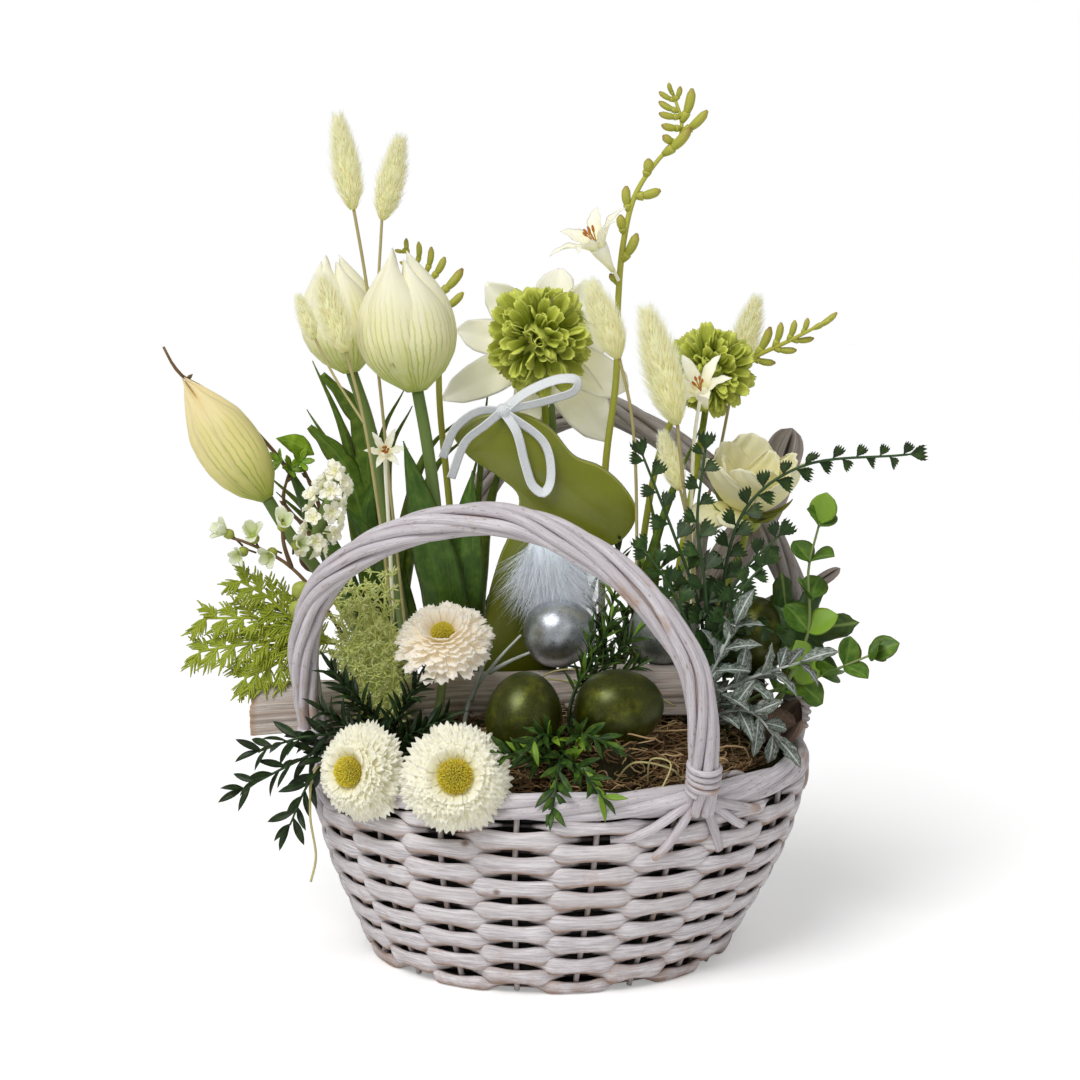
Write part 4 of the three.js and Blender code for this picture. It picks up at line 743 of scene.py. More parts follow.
build_floor()
build_sky()
build_lights()
build_camera()


# ---------------------------------------------------------------- basket

RIM_X, RIM_WIDTH, RIM_DEPTH = 12, 286, 250
RIM_BOTTOM, RIM_TOP = 108, 125
BASE_X, BASE_WIDTH, BASE_DEPTH = 5, 210, 192
ROWS, STAKES, FIRST = 15, 20, math.radians(-82)


def round_point(angle, z, out=0.0):
    """A point of the basket's wall, out from its middle surface."""
    t = np.clip(np.asarray(z, float) / RIM_BOTTOM, 0, 1.2)
    share = np.where(t < 1, np.sin(np.minimum(t, 1) * PI / 2) ** 1.15, 1.0)
    x = mix(BASE_X, RIM_X, np.minimum(t, 1))
    a = mix(BASE_WIDTH, RIM_WIDTH, share) / 2 + out
    b = mix(BASE_DEPTH, RIM_DEPTH, share) / 2 + out
    return xyz(x + np.cos(angle) * a, np.sin(angle) * b, z)


STRIP_WAVE = [-1, -0.65, -0.3, 0, 0.3, 0.6, 1]
STRIP_HALF = [1.3, 1.8, 3.3, 5.0, 6.1, 5.9, 4.9]
STRIP_BEHIND, STRIP_BEFORE, STRIP_THICK, STRIP_RUN = -3.9, 2.3, 1.7, 820
EDGE_ROW_SHARE, ROW_SHIFT = 0.72, (137, 31)


def build_weave():
    """Split willow strips that pass in front of and behind the stakes by turns."""
    piece = Piece("basket_weave", 11)
    rng = piece.rng
    steps, low = 540, 0.4
    pitch = (RIM_BOTTOM - low) / ROWS
    angle = circle(steps)
    c, s = np.cos(circle(12)), np.sin(circle(12))
    deep_side = np.sign(c) * np.abs(c) ** 0.8
    for row in range(ROWS):
        wave = np.cos((angle - FIRST) / TURN * STAKES * PI + row * PI)
        drift = wobble(rng, 1, 4)(even(steps))[0]
        close = np.cos(angle * 3 + rng.uniform(0, TURN)) * 0.3
        front = ease((wave + 0.97) / 1.4)
        half = np.interp(wave, STRIP_WAVE, STRIP_HALF)
        half = half * (1 + 0.05 * wobble(rng, 1, 6)(np.linspace(0, 3, steps))[0])
        half = half * (EDGE_ROW_SHARE if row in (0, ROWS - 1) else 1)
        out = mix(STRIP_BEHIND, STRIP_BEFORE, front) + 0.25 * close
        thick = STRIP_THICK + 0.5 * front
        z = low + pitch * (row + 0.5) + 0.35 * close + 0.12 * drift
        z = np.maximum(z, half + 0.3)
        height = z[:, None] + half[:, None] * np.sign(s) * np.abs(s) ** 0.85
        ring = round_point(angle[:, None], height, out[:, None] + thick[:, None] * deep_side)
        ring = np.concatenate([ring, ring[:1]])[None]
        tone = rng.random()
        run = np.linspace(0, STRIP_RUN, steps + 1)[:, None]
        flow = xyz(run + ROW_SHIFT[0] * row, half.mean() * s, thick.mean() * c + ROW_SHIFT[1] * row)
        # painted shade: how far the strip has gone behind a stake, near black in the material
        deep = ease((-0.55 - np.append(wave, wave[:1])) / 0.4)[:, None]
        # tan on the lower edge is painted shade; the faint tan on both edges is wear
        edge = np.clip(-s, 0, 1) ** 1.5 * 0.95 + np.abs(s) ** 4 * 0.25
        # painted shade: tan on the two lowest rows
        foot = max(0.0, 0.4 - row * 0.2)
        shade = xyz(deep, tone, np.clip(edge + 0.5 * deep + foot, 0, 1))
        piece.add(ring, flow, shade, "none")
    piece.make("strips", "willow", "basket_wall")


def strips_look():
    """The strips: as the rods, with near-black painted shade where they pass behind a stake."""
    look = Look("white_washed_strips")
    grain = look.noise(1.2, (0.045, 1.0, 1.0), 6.0, 0.7)
    patches = look.noise(0.05, (0.5, 1.0, 1.0), 5.0, 0.6)
    knots = look.cells(0.035, (1.0, 1.6, 1.6))
    wash = look.noise(0.11, (0.35, 1.0, 1.0), 6.0, 0.7)
    base = look.blend(look.ramp(grain, (0.34, 0.0), (0.62, 1.0)), "#b0a8ab", "#f0edef")
    base = look.cover(base, "#ccc4c6", wash, 0.42, 0.72, 0.6)
    base = look.cover(base, "#d4ccc8", look.tone, 0.2, 1.0, 0.3)
    # extra brings tan: wear on the edges, and painted shade on the lower edges, the lowest rows and behind
    # the stakes
    rubbed = look.math("MULTIPLY", look.extra, look.ramp(wash, (0.34, 0.25), (0.62, 1.5)))
    base = look.cover(base, "#967c6a", rubbed, 0.12, 0.95, 0.9)
    base = look.cover(base, "#baa08e", patches, 0.6, 0.67, 0.7)
    base = look.blend(look.ramp(knots, (0.035, 0.85), (0.1, 0.0)), base, "#806a5c")
    # painted shade: near black where the strip passes behind a stake
    base = look.cover(base, "#262222", look.along, 0.35, 0.85, 0.93)
    normal = look.bump(grain, 0.6, 0.5)
    normal = look.bump(patches, 0.3, 0.8, normal)
    rough = look.ramp(grain, (0.3, 0.78), (0.7, 0.55))
    return look.finish(base, rough, normal, Specular_IOR_Level=0.3)


LOOKS["strips"] = strips_look()


LOOSE_LOOP = [[99, -70, 110], [102, -74, 119], [110, -73, 122], [117, -66, 118], [118, -62, 110]]
FOOT_STRANDS = ((-0.34, 97, 5.2), (-0.2, 84, 5.4), (0.17, 84, 5.6), (0.3, 96, 5.0), (0.4, 104, 6.8))


def build_foot_strands():
    """Rods of the handles' feet that spread over the border and tuck under the weave."""
    piece = Piece("foot_strands", 16)
    for feet, ends in ((FRONT_FEET, (-117, 118)), (BACK_FEET, (-116, 116))):
        for end in ends:
            foot = np.array(feet) + HANDLE_AXIS * end
            angle = math.atan2(foot[1] / RIM_DEPTH, (foot[0] - RIM_X) / RIM_WIDTH)
            for swing, low, out in FOOT_STRANDS:
                t = even(24)
                off = mix(2.0, out, np.sin(np.minimum(t * 1.15, 1) * PI) ** 0.5)
                line = round_point(angle + swing * t**1.2, mix(117, low, ease(t)),
                                   off - 3.5 * ease((t - 0.82) / 0.18))
                piece.tubes(line, 3.1 * mix(1, 0.8, t), 10, tone=piece.rng.random(), extra=0.15)
    piece.tubes(smooth(LOOSE_LOOP, 30), 2.0, 10, extra=0.4)
    piece.make("willow", "willow", "basket_rim")


STAKE_RADIUS = 1.7
BORDER_STRANDS, BORDER_TURNS, BORDER_OUT, BORDER_UP, BORDER_RADIUS = 4, 4, 3.1, 4.3, 3.9


def build_stakes():
    """The upright rods that the strips are woven round."""
    piece = Piece("basket_stakes", 12)
    z = np.linspace(1.5, RIM_BOTTOM + 8, 26)
    angle = FIRST + np.arange(STAKES)[:, None] / STAKES * TURN
    lines = round_point(angle, z[None], -0.9)
    piece.tubes(lines, STAKE_RADIUS)
    # the stakes take the darker willow copy: painted shade for the gaps they stand in
    piece.make("willow_shaded_copy", "willow", "basket_wall")


def build_rim():
    """Border strands rolled over each other round the top edge."""
    piece = Piece("basket_border", 13)
    angle = np.linspace(0, TURN, 421)
    middle = (RIM_BOTTOM + RIM_TOP) / 2
    for i in range(BORDER_STRANDS):
        turn = angle * BORDER_TURNS + i / BORDER_STRANDS * TURN
        swell = wobble(piece.rng, 1, 4)(angle / TURN)[0]
        fade = np.sin(angle / 2) ** 0.2
        line = round_point(angle, RIM_BOTTOM + 0 * angle, BORDER_OUT * np.cos(turn))
        line[:, 2] = middle + BORDER_UP * np.sin(turn) + 0.4 * swell * fade
        piece.tubes(line, BORDER_RADIUS + 0.3 * swell * fade, 12, extra=0.1)
    piece.make("willow", "willow", "basket_rim")


def base_ring(angle, inset, share, z):
    """Points round the bottom, in from its edge by the inset and then at a share of the way out."""
    return xyz(BASE_X + np.cos(angle) * (BASE_WIDTH / 2 - inset) * share,
               np.sin(angle) * (BASE_DEPTH / 2 - inset) * share, z)


def build_base():
    """The woven bottom: rings of rod over spokes, all above the flat underside."""
    piece = Piece("basket_bottom", 14)
    angle = np.linspace(0, TURN, 121)
    for i, share in enumerate(np.linspace(0.07, 0.955, 15)):
        piece.tubes(base_ring(angle, 6, share, 3.2 + 0.7 * np.cos(angle * 12 + i * PI)), 2.4)
    for turn in np.arange(12) / 12 * TURN:
        reach = np.array([math.cos(turn) * (BASE_WIDTH / 2 - 7), math.sin(turn) * (BASE_DEPTH / 2 - 7), 0])
        piece.tubes(np.array([BASE_X, 0, 3]) + reach * np.linspace(0.03, 1, 10)[:, None], 2.2)
    rings = np.array([[base_ring(circle(64), 5, share, z)
                       for share, z in ((1.0, 1.2), (1.0, 2.2), (0.5, 2.2), (0.02, 2.2))]])
    piece.add(rings, rings, (0.5, 0.8, 0.9))
    # the bottom takes the darker willow copy: painted shade underneath
    piece.make("willow_shaded_copy", "willow", "basket_base")


def build_lining():
    """The dark liner inside the weave."""
    piece = Piece("black_lining", 15)
    walls = [(z, -6.2) for z in np.linspace(5, 112, 16)] + [(z, -8.0) for z in (113, 60, 5)]
    rings = np.array([[round_point(circle(120), np.full(120, z), out) for z, out in walls]])
    piece.add(rings, rings, (0.5, 0.5, 0.0))
    piece.make("lining", "moss", "filler")


HANDLE_AXIS = np.array([0.923, -0.386])
FRONT_FEET, BACK_FEET = (-20.5, -67), (44.5, 67)
FRONT_ARCH = [
    [-117, 0], [-120, 50], [-117, 84], [-103, 115], [-79, 138], [-45, 156], [0, 168], [36, 166], [73, 149],
    [95, 130], [111, 108], [121, 88], [124, 62], [123, 30], [118, 0]
]
BACK_ARCH = [
    [-116, 0], [-122, 60], [-118, 112], [-98, 160], [-66, 194], [-28, 208], [4, 198], [50, 172], [90, 136],
    [114, 92], [120, 45], [116, 0]
]


RODS, ROD_TURNS, ROD_RADIUS, BUNDLE_RADIUS, CORE_RADIUS = 7, 1.6, 2.95, 6.5, 4.8
WRAPS, WRAP_RADIUS, WRAP_ROD = 4.5, 9.3, 1.75


def build_handle(name, feet, arch, lean, look, seed):
    """Rods wound together along the arch, with wrapped collars at both feet."""
    piece = Piece(name, seed)
    steps = 220
    u = np.array([*HANDLE_AXIS, 0.0])
    tip = math.radians(lean)
    over = np.array([HANDLE_AXIS[1] * math.sin(tip), -HANDLE_AXIS[0] * math.sin(tip), math.cos(tip)])
    feet = np.array([*feet, 111.0])
    points = [feet + u * s + over * h for s, h in arch]
    line = smooth(points, steps)
    _, side, other = directions(line, np.cross(u, over))
    t = even(steps)
    slim = mix(0.84, 1, np.sin(t * PI).clip(0) ** 0.5)
    for i in range(RODS):
        swell = wobble(piece.rng, 1, 5)(t)[0]
        angle = TURN * (i / RODS + ROD_TURNS * t) + 0.1 * swell
        reach = BUNDLE_RADIUS * slim * (1 + 0.04 * swell)
        rod = line + side * (np.cos(angle) * reach)[:, None] + other * (np.sin(angle) * reach)[:, None]
        piece.tubes(rod, (ROD_RADIUS + 0.14 * wobble(piece.rng, 1, 4)(t)[0]) * slim, 10, extra=0.1)
    # the core is tinted far towards the worn tan, which shows in the grooves between the rods as painted
    # shade
    piece.tubes(line, CORE_RADIUS * slim, extra=1.3)
    for start, stop in ((0.028, 0.064), (0.972, 0.936)):
        t = np.linspace(start, stop, 90)
        centre, a, b = (np.stack([np.interp(t, even(steps), v[:, k]) for k in range(3)], axis=1)
                        for v in (line, side, other))
        reach = WRAP_RADIUS * np.interp(t, even(steps), slim)[:, None]
        wrap = centre + spokes(a, b, np.linspace(0, TURN * WRAPS, 90)) * reach
        piece.tubes(wrap, WRAP_ROD, extra=0.1)
    piece.make(look, "willow", name)


build_weave()
build_stakes()
build_foot_strands()
build_rim()
build_base()
build_lining()
build_handle("handle_front", FRONT_FEET, FRONT_ARCH, 15, "willow", 21)
# the back handle takes the darker willow copy: painted shade
build_handle("handle_back", BACK_FEET, BACK_ARCH, -13, "willow_shaded_copy", 22)

# ---------------------------------------------------------------- eggs, log, rabbit


EGG_BLUNTNESS = 0.09


def build_egg(name, at, half, length, tip, look, slot, seed):
    """One smooth egg, a little fuller at its blunt end."""
    piece = Piece(name, seed)
    axis = unit(vector(tip))
    t = even(40)
    fall = np.cos(t * PI)
    body = np.sqrt(np.clip(1 - fall**2, 0, 1)) * (1 + EGG_BLUNTNESS * fall)
    body = body / body.max()
    ring = spokes(*across(axis), circle(64))
    centre = vector(at) - axis * fall[:, None] * length
    rings = (centre[:, None] + ring[None] * np.maximum(body * half, 0.02)[:, None, None])[None]
    piece.add(rings, rings + 50 * seed, xyz(t[:, None], 0.5, 0.0))
    piece.make(look, slot, name)


LOG_SECTION = [
    (-11, -13), (2, -14.5), (11, -12), (12, -2), (10, 8), (6, 14.5), (-1, 16.5), (-8, 13.5), (-12, 5)
]


LOG_START, LOG_END = [-173, -3, 142.5], [92, -8, 157.0]


def build_log():
    """Driftwood: the section's edges run along it under fine lengthwise ridges."""
    piece = Piece("driftwood_log", 31)
    start, end = np.array(LOG_START), np.array(LOG_END)
    rows, sides = 150, 108
    corners = np.array(LOG_SECTION + LOG_SECTION[:1], float)
    loop = spaced(np.column_stack([corners, np.zeros(len(corners))]), sides + 1)[:-1, :2]
    soft = (loop + np.roll(loop, 2, axis=0) + np.roll(loop, -2, axis=0)) / 3
    t = even(rows)
    ridge = wobble(piece.rng, 1, 9)(np.linspace(0, 2.6, sides))[0] * 0.35
    bend = wobble(piece.rng, sides, 3)(t) * 0.18
    grow = 1 + (ridge[None] + bend.T) / np.linalg.norm(soft, axis=1)[None]
    sag = wobble(piece.rng, 2, 2)(t) * 0.5
    chip = np.abs(wobble(piece.rng, 1, 8)(np.linspace(0, 2, sides))[0])
    taper = np.where(t < 0.004, 0.97, 1.0) * np.where(t > 0.996, 0.9, 1.0)
    centre = start + (end - start) * t[:, None]
    wide, tall = soft.T
    rings = centre[:, None] + xyz(np.where(t[:, None] < 0.02, chip * 0.7, 0),
                                  wide * grow * taper[:, None] + sag[0][:, None],
                                  tall * grow * taper[:, None] + sag[1][:, None])
    shade = xyz(t[:, None], 0.0, np.clip(1 - t[:, None] * 60, 0, 0.8))
    piece.add(rings[None], xyz(rings[..., 0], wide, tall), shade)
    piece.make("log", "driftwood", "wood_log")


RABBIT = [
    (-52, 309), (-44, 295), (-24, 281), (-13, 270), (-15, 255), (-25, 231), (-35, 190), (-38, 138),
    (10, 138), (12, 204), (22, 236), (46, 241), (56, 252), (58, 262), (50, 276), (36, 288), (21, 294),
    (6, 311), (-12, 320), (-34, 319)
]
RABBIT_Y, RABBIT_THICK, RABBIT_LOW, RABBIT_HIGH = 19, 12, 138, 320
# the third column is the pale edge share: partly wear, partly painted highlight
ROUNDED_EDGE = ((1.3, -1.0, 0.0), (0.55, -0.9, 1.0), (0.15, -0.72, 0.25), (0.0, -0.4, 0.0),
                (0.0, 0.4, 0.0), (0.15, 0.72, 0.25), (0.55, 0.9, 1.0), (1.3, 1.0, 0.0))


def build_rabbit():
    """A plain hare outline in lacquered wood, its edges rounded over."""
    points = [vector([x, 0, z]) for x, z in RABBIT]
    foot = RABBIT.index((-38, RABBIT_LOW))
    outline = smooth(points[foot + 1:] + points[:foot + 1], 150)
    outline = np.vstack([outline, spaced(np.array([outline[-1], outline[0]]), 26)[1:-1]])
    tangent = unit(np.roll(outline, -1, axis=0) - np.roll(outline, 1, axis=0))
    inward = np.cross(tangent, [0, 1, 0])
    centre = outline.mean(axis=0)
    if np.mean(np.sum(inward * (centre - outline), axis=1)) < 0:
        inward = -inward
    piece = Piece("rabbit", 32)
    inset, y, worn = (v[:, None] for v in vector(ROUNDED_EDGE).T)
    rings = outline + inward * inset[..., None]
    rings[..., 1] = RABBIT_Y + y * RABBIT_THICK / 2
    # height drives the painted shade, darker low down; worn drives the pale edges, partly wear and partly
    # painted highlight
    height = (rings[..., 2] - RABBIT_LOW) / (RABBIT_HIGH - RABBIT_LOW)
    piece.add(rings[None], rings, xyz(height, 0.0, worn * 0.55))
    piece.make("rabbit", "rabbit", "rabbit")


FUR_HAIRS, FUR_TOP, FUR_LOW, FUR_REACH = 2600, [2.0, 8, 250], [8.0, 8, 212], [3, 15, 21, 20, 12]


def build_fur():
    """Long soft hair that fans down from the rabbit's neck."""
    piece = Piece("fur_collar", 33)
    rng = piece.rng
    hairs, top, low = FUR_HAIRS, vector(FUR_TOP), vector(FUR_LOW)
    t = rng.random(hairs) ** 0.8
    turn = rng.uniform(0, TURN, hairs)
    reach = profile(t, FUR_REACH) * np.sqrt(rng.uniform(0.3, 1, hairs))
    root = top + (low - top) * t[:, None]
    root = root + xyz(np.cos(turn) * reach, np.sin(turn) * reach * 0.5, 0.0) * 0.75
    spread = (root[:, 0] - 3) / 20 + rng.normal(0, 0.25, hairs)
    away = unit(xyz(spread * 1.2 + 0.12, -0.1 + 0.3 * np.sin(turn) + rng.normal(0, 0.1, hairs),
                    -1 + 0.5 * np.abs(spread) + rng.normal(0, 0.14, hairs)))
    length = rng.uniform(13, 27, hairs)
    s = even(5)
    wave = rng.normal(0, 1.3, (hairs, 3))
    lines = (strands(root, away, length, s)
             + wave[:, None] * (np.sin(s * PI * 1.2) * s)[:, None]
             - UP * (3.5 * s**2)[:, None])
    piece.tubes(lines, rng.uniform(0.1, 0.2, hairs)[:, None] * (1.05 - s) ** 0.6, 3)
    core = smooth([top, (top + low) / 2, low], 18)
    piece.tubes(core, 14 * np.sin(np.linspace(0.12, 0.9, 18) * PI), 24, flat=0.5, tone=0.3,
                hint=(1, 0, 0))
    piece.make("fur", "fur", "fur_collar")


KNOT = [-22, 9, 322]
RIBBON_RUNS = [
    [KNOT, [-8, 7, 333], [12, 6, 341], [22, 6.5, 340], [21, 7, 334.5], [4, 8, 328], KNOT],
    [KNOT, [-14, 5, 310], [-9, 6, 291], [-4, 6.6, 277], [2, 7, 273], [6, 8, 279], [3, 8, 302], KNOT],
    [KNOT, [-36, 7, 322], [-50, 7, 312], [-58, 8, 294]],
    [KNOT, [-32, 5, 314], [-44, 5, 304], [-53, 6, 282]],
]
RIBBON_WIDTH = 6.2


def build_ribbon():
    """A narrow bow: two loops, two ends and the knot, one strip of woven ribbon."""
    piece = Piece("ribbon_bow", 34)
    for run in RIBBON_RUNS:
        line = smooth(run, 60)
        along = unit(np.gradient(line, axis=0))
        broad = unit(np.cross(along, [0.0, 1.0, 0.0])) * 0.85 + [0.0, 0.5, 0.1]
        side = unit(broad - along * np.sum(along * broad, axis=1, keepdims=True))
        s = across_zero(7)[:, None]
        normal = np.cross(along, side)
        curve = line[:, None] + side[:, None] * (RIBBON_WIDTH / 2) * s + normal[:, None] * (0.15 * s**2)
        piece.sheets(curve[None], 0.16, tone=0.5, width=RIBBON_WIDTH / 2)
    t = even(14)
    knot = np.array([-26, 9.4, 320]) + np.array([8, 0, 4.0]) * t[:, None]
    piece.tubes(knot, 4.3 * np.sin(np.linspace(0.1, 0.9, 14) * PI) ** 0.7, 14, tone=0.4)
    made = piece.make("ribbon", "ribbon", "ribbon_bow")


EGGS = (
    ("egg_silver_1", [12, -2, 190], 20.5, 22, [1, 0.3, 0.1], "silver", "silver_egg"),
    ("egg_silver_2", [75, 3, 190], 20.5, 23, [0.5, 0.8, 0], "speckled", "silver_egg"),
    ("egg_olive_1", [-9, -75, 157], 22, 24.5, [0.1, 0.2, 1], "olive", "olive_egg"),
    ("egg_olive_2", [45, -75, 161], 22, 25.5, [1, 0.1, 0.1], "olive", "olive_egg"),
    ("egg_olive_3", [131, 25, 183], 20.5, 24, [0.1, 0.1, 1], "olive", "olive_egg"),
)
for number, egg in enumerate(EGGS):
    build_egg(*egg, 40 + number)
build_log()
build_rabbit()
build_fur()
build_ribbon()


# ---------------------------------------------------------------- flowers


BELLIS_OUTLINE = [0.35, 0.6, 0.82, 0.97, 1.0, 0.9]
BELLIS_LAYERS, BELLIS_SIZE, EYE_RADIUS, EYE_FLORETS = 8, 30, 7.9, 700


def build_bellis(number, at, axis, size, look, depth=7.0, low=-0.26, high=0.62, eye_size=1.0,
                 counts=(30, 19), lengths=(25.0, 9.6), widths=(10.0, 7.4), notch=0.05, comb=2.5):
    """Rings of fine toothed petals over each other, round a domed yellow eye."""
    s = size / BELLIS_SIZE
    axis, at = unit(axis), vector(at)
    piece = Piece(f"bellis_{number}_petals", 50 + number)
    rng = piece.rng
    for layer in range(BELLIS_LAYERS):
        share = layer / (BELLIS_LAYERS - 1)
        count = int(mix(*counts, share))
        out = ring_of(count, axis, layer * 0.5, 0.7, rng)
        lean = mix(low, high, share) + rng.normal(0, 0.04, count)
        length = mix(*lengths, share) * s * rng.uniform(0.9, 1.05, count)
        curl = rng.normal(-0.12, 0.1, count)
        root = at + axis * mix(-depth, 0.6, share) * s + out * mix(4.0, 7.4 * eye_size, share) * s
        grids = fan(rng, root, out, axis, length, mix(*widths, share) * s * rng.uniform(0.8, 1.15, count),
                    BELLIS_OUTLINE, lean, curl, cup=0.2, ruffle=0.5 * s, waves=1.5, notch=notch, comb=comb,
                    rows=8, columns=11)
        # painted shade: tone is lower in the outer, lower layers, which the look makes a little darker
        piece.sheets(grids, 0.3, tone=np.clip(0.6 + 0.4 * share + rng.normal(0, 0.2, count), 0, 1),
                     width=2.6)
    piece.make(look, "cream_petal", f"bellis_{number}_petals")
    eye = Piece(f"bellis_{number}_eye", 60 + number)
    rng = eye.rng
    a, b = across(axis)
    rows = even(10)
    ring = spokes(a, b, circle(32))
    dome = at + axis * (mix(1.2, 6.6, rows) * s)[:, None]
    width = EYE_RADIUS * eye_size * s * np.sqrt(np.clip(1 - rows**3, 0.0004, 1))
    rings = (dome[:, None] + ring * width[:, None, None])[None]
    eye.add(rings, rings, (0.1, 0.5, 0))
    florets = EYE_FLORETS
    share, angle = spiral(florets)
    share = np.sqrt(share)
    radial = spokes(a, b, angle)
    height = np.sqrt(np.clip(1 - share**3, 0, 1)) * 5.2 * s
    root = at + axis * (1.0 * s + height)[:, None] + radial * (share * EYE_RADIUS * eye_size * s)[:, None]
    aim = unit(axis + radial * share[:, None] * 0.9 + rng.normal(0, 0.16, (florets, 3)))
    t = even(5)
    lines = root[:, None] + aim[:, None] * (t[:, None] * rng.uniform(1.4, 3.0, (florets, 1, 1)) * s)
    eye.tubes(lines, 0.27 * s * np.array([0.8, 0.9, 1.0, 1.2, 0.5]), 4)
    eye.make("eye", "eye", f"bellis_{number}_eye")


BELLIS = (
    (1, [-105, -100, 130], [-0.55, -0.8, 0.2], 29.5, "bellis"),
    (2, [-46, -134, 136], [0, -0.95, 0.3], 32, "bellis"),
    (3, [-56, -45, 196], [-0.06, -0.56, 0.83], 29, "bellis_peach", 3.5, -0.1, 0.95, 0.72, (24, 14),
     (27.0, 13.0), (8.2, 6.8), 0.04, 1.6),
)
BELLIS_STEM_RADIUS = 2.6
BELLIS_STEMS = ([[-101, -94, 129], [-88, -79, 132], [-68, -64, 116]],
                [[-46, -126, 136], [-52, -104, 137], [-68, -64, 118]],
                [[-68, -62, 116], [-58, -44, 158], [-55, -38, 189]])


TULIP_BELLY = [0.2, 0.66, 0.9, 1.0, 0.99, 0.92]
TULIP_MOUTH = ((0.66, 0.82), (0.36, 0.62), (0.0, 0.44))
TULIP_INSIDE = [0.97, 0.93, 0.91, 0.9]
TULIP_WIDE = [1.0, 1.08, 1.1, 1.12, 1.1, 1.06, 0.98, 0.82, 0.42]


def build_tulip(number, base, tip, radius, opening, look):
    """Six pointed petals that overlap round a cup; opening is from 0, a bud, to 1."""
    piece = Piece(f"tulip_{number}_bloom", 70 + number)
    rng = piece.rng
    base, tip = vector(base), vector(tip)
    axis, height = unit(tip - base), np.linalg.norm(tip - base)
    a, b = across(axis)
    t, s = even(26), across_zero(17)
    belly = profile(t, TULIP_BELLY + [mix(shut, wide, opening) for shut, wide in TULIP_MOUTH])
    for i in range(6):
        inner = i % 2
        start = i * TURN / 6 + rng.normal(0, 0.05) - 0.4
        grow = mix((0.99, 1.0)[inner], (0.93, 1.0)[inner] * rng.uniform(0.97, 1.02), min(1, opening * 3))
        out = radius * belly * (profile(t, TULIP_INSIDE) if inner else 0.99)
        angle = start + profile(t, TULIP_WIDE)[:, None] * s
        dip = 0.06 * radius * np.cos(s * PI)[None] * np.sin(t * PI)[:, None]
        edge = 0.03 * radius * np.sin(5 * t[:, None] * PI + 2 * s + i) * np.abs(s) ** 3
        curl_in = 0.05 * radius * (s**2) * (t[:, None] ** 2)
        reach = out[:, None] * (1 + 0.03 * rng.normal()) + dip + edge - curl_in
        rise = height * grow * t[:, None] * (1 - 0.17 * np.abs(s) ** 1.5 * t[:, None] ** 2)
        grid = base + axis * rise[..., None] + spokes(a, b, angle) * reach[..., None]
        piece.sheets(grid[None], 0.7, tone=rng.random(), width=radius * 0.9)
    piece.make(look, "cream_petal", f"tulip_{number}_bloom")


TULIPS = (
    (1, [-162, 5, 270], [-211, 5, 342], 19, 0.1, "tulip_bud"),
    (2, [-114, 35, 343], [-126, 35, 414], 24, 0.55, "tulip"),
    (3, [-72, -5, 335], [-83, -5, 418], 28, 0.45, "tulip"),
)
TULIP_GREENS = (
    (1, [[-163, 5, 271], [-150, 9, 248], [-128, 20, 215], [-96, 34, 152], [-92, 36, 116]],
     [([[-104, 30, 168], [-116, 33, 205], [-140, 36, 255], [-155, 36, 290]], [9, 15, 16, 11, 0])]),
    (2, [[-114, 35, 344], [-103, 35, 309], [-97, 38, 266], [-80, 48, 155], [-79, 49, 130]],
     [([[-81, 48, 168], [-94, 54, 210], [-108, 56, 250], [-97, 58, 286]], [10, 17, 18, 12, 0]),
     ([[-81, 48, 168], [-88, 45, 204], [-106, 42, 240], [-120, 40, 262]], [10, 17, 18, 12, 0])]),
    (3, [[-72, -5, 336], [-67, -2, 306], [-62, 6, 262], [-56, 20, 155], [-56, 20, 130]], [([[-56, 18, 172],
     [-58, -1, 205], [-68, -11, 255], [-80, -11, 306]], [13, 29, 28, 17, 0]), ([[-56, 18, 172],
     [-50, 5, 205], [-46, -1, 245], [-40, 2, 287]], [13, 29, 28, 17, 0])]),
)


def build_tulip_greens(number, stem, leaves):
    """The stem of a tulip and the broad leaves round it."""
    piece = Piece(f"tulip_{number}_stem", 80 + number)
    line = smooth(stem, 40)
    piece.tubes(line, profile(even(40), [3.6, 3.8, 4.2]), 12, tone=0.3)
    piece.make("tulip_stem", "leaf", f"tulip_{number}_stem")
    green = Piece(f"tulip_{number}_leaves", 83 + number)
    for path, widths in leaves:
        grid = blade(path, widths, np.array([1, -0.25, 0]), 0.16, 34, 11, ruffle=0.5)
        green.sheets(grid, 0.9, width=max(widths) / 2)
    green.make("tulip_leaf", "leaf", f"tulip_{number}_stem")


SPOON = [0.3, 0.36, 0.6, 0.92, 1.0, 0.66]
POMPOM_PETALS, POMPOM_DISORDER, POMPOM_SPREAD = 132, 0.23, 1.95


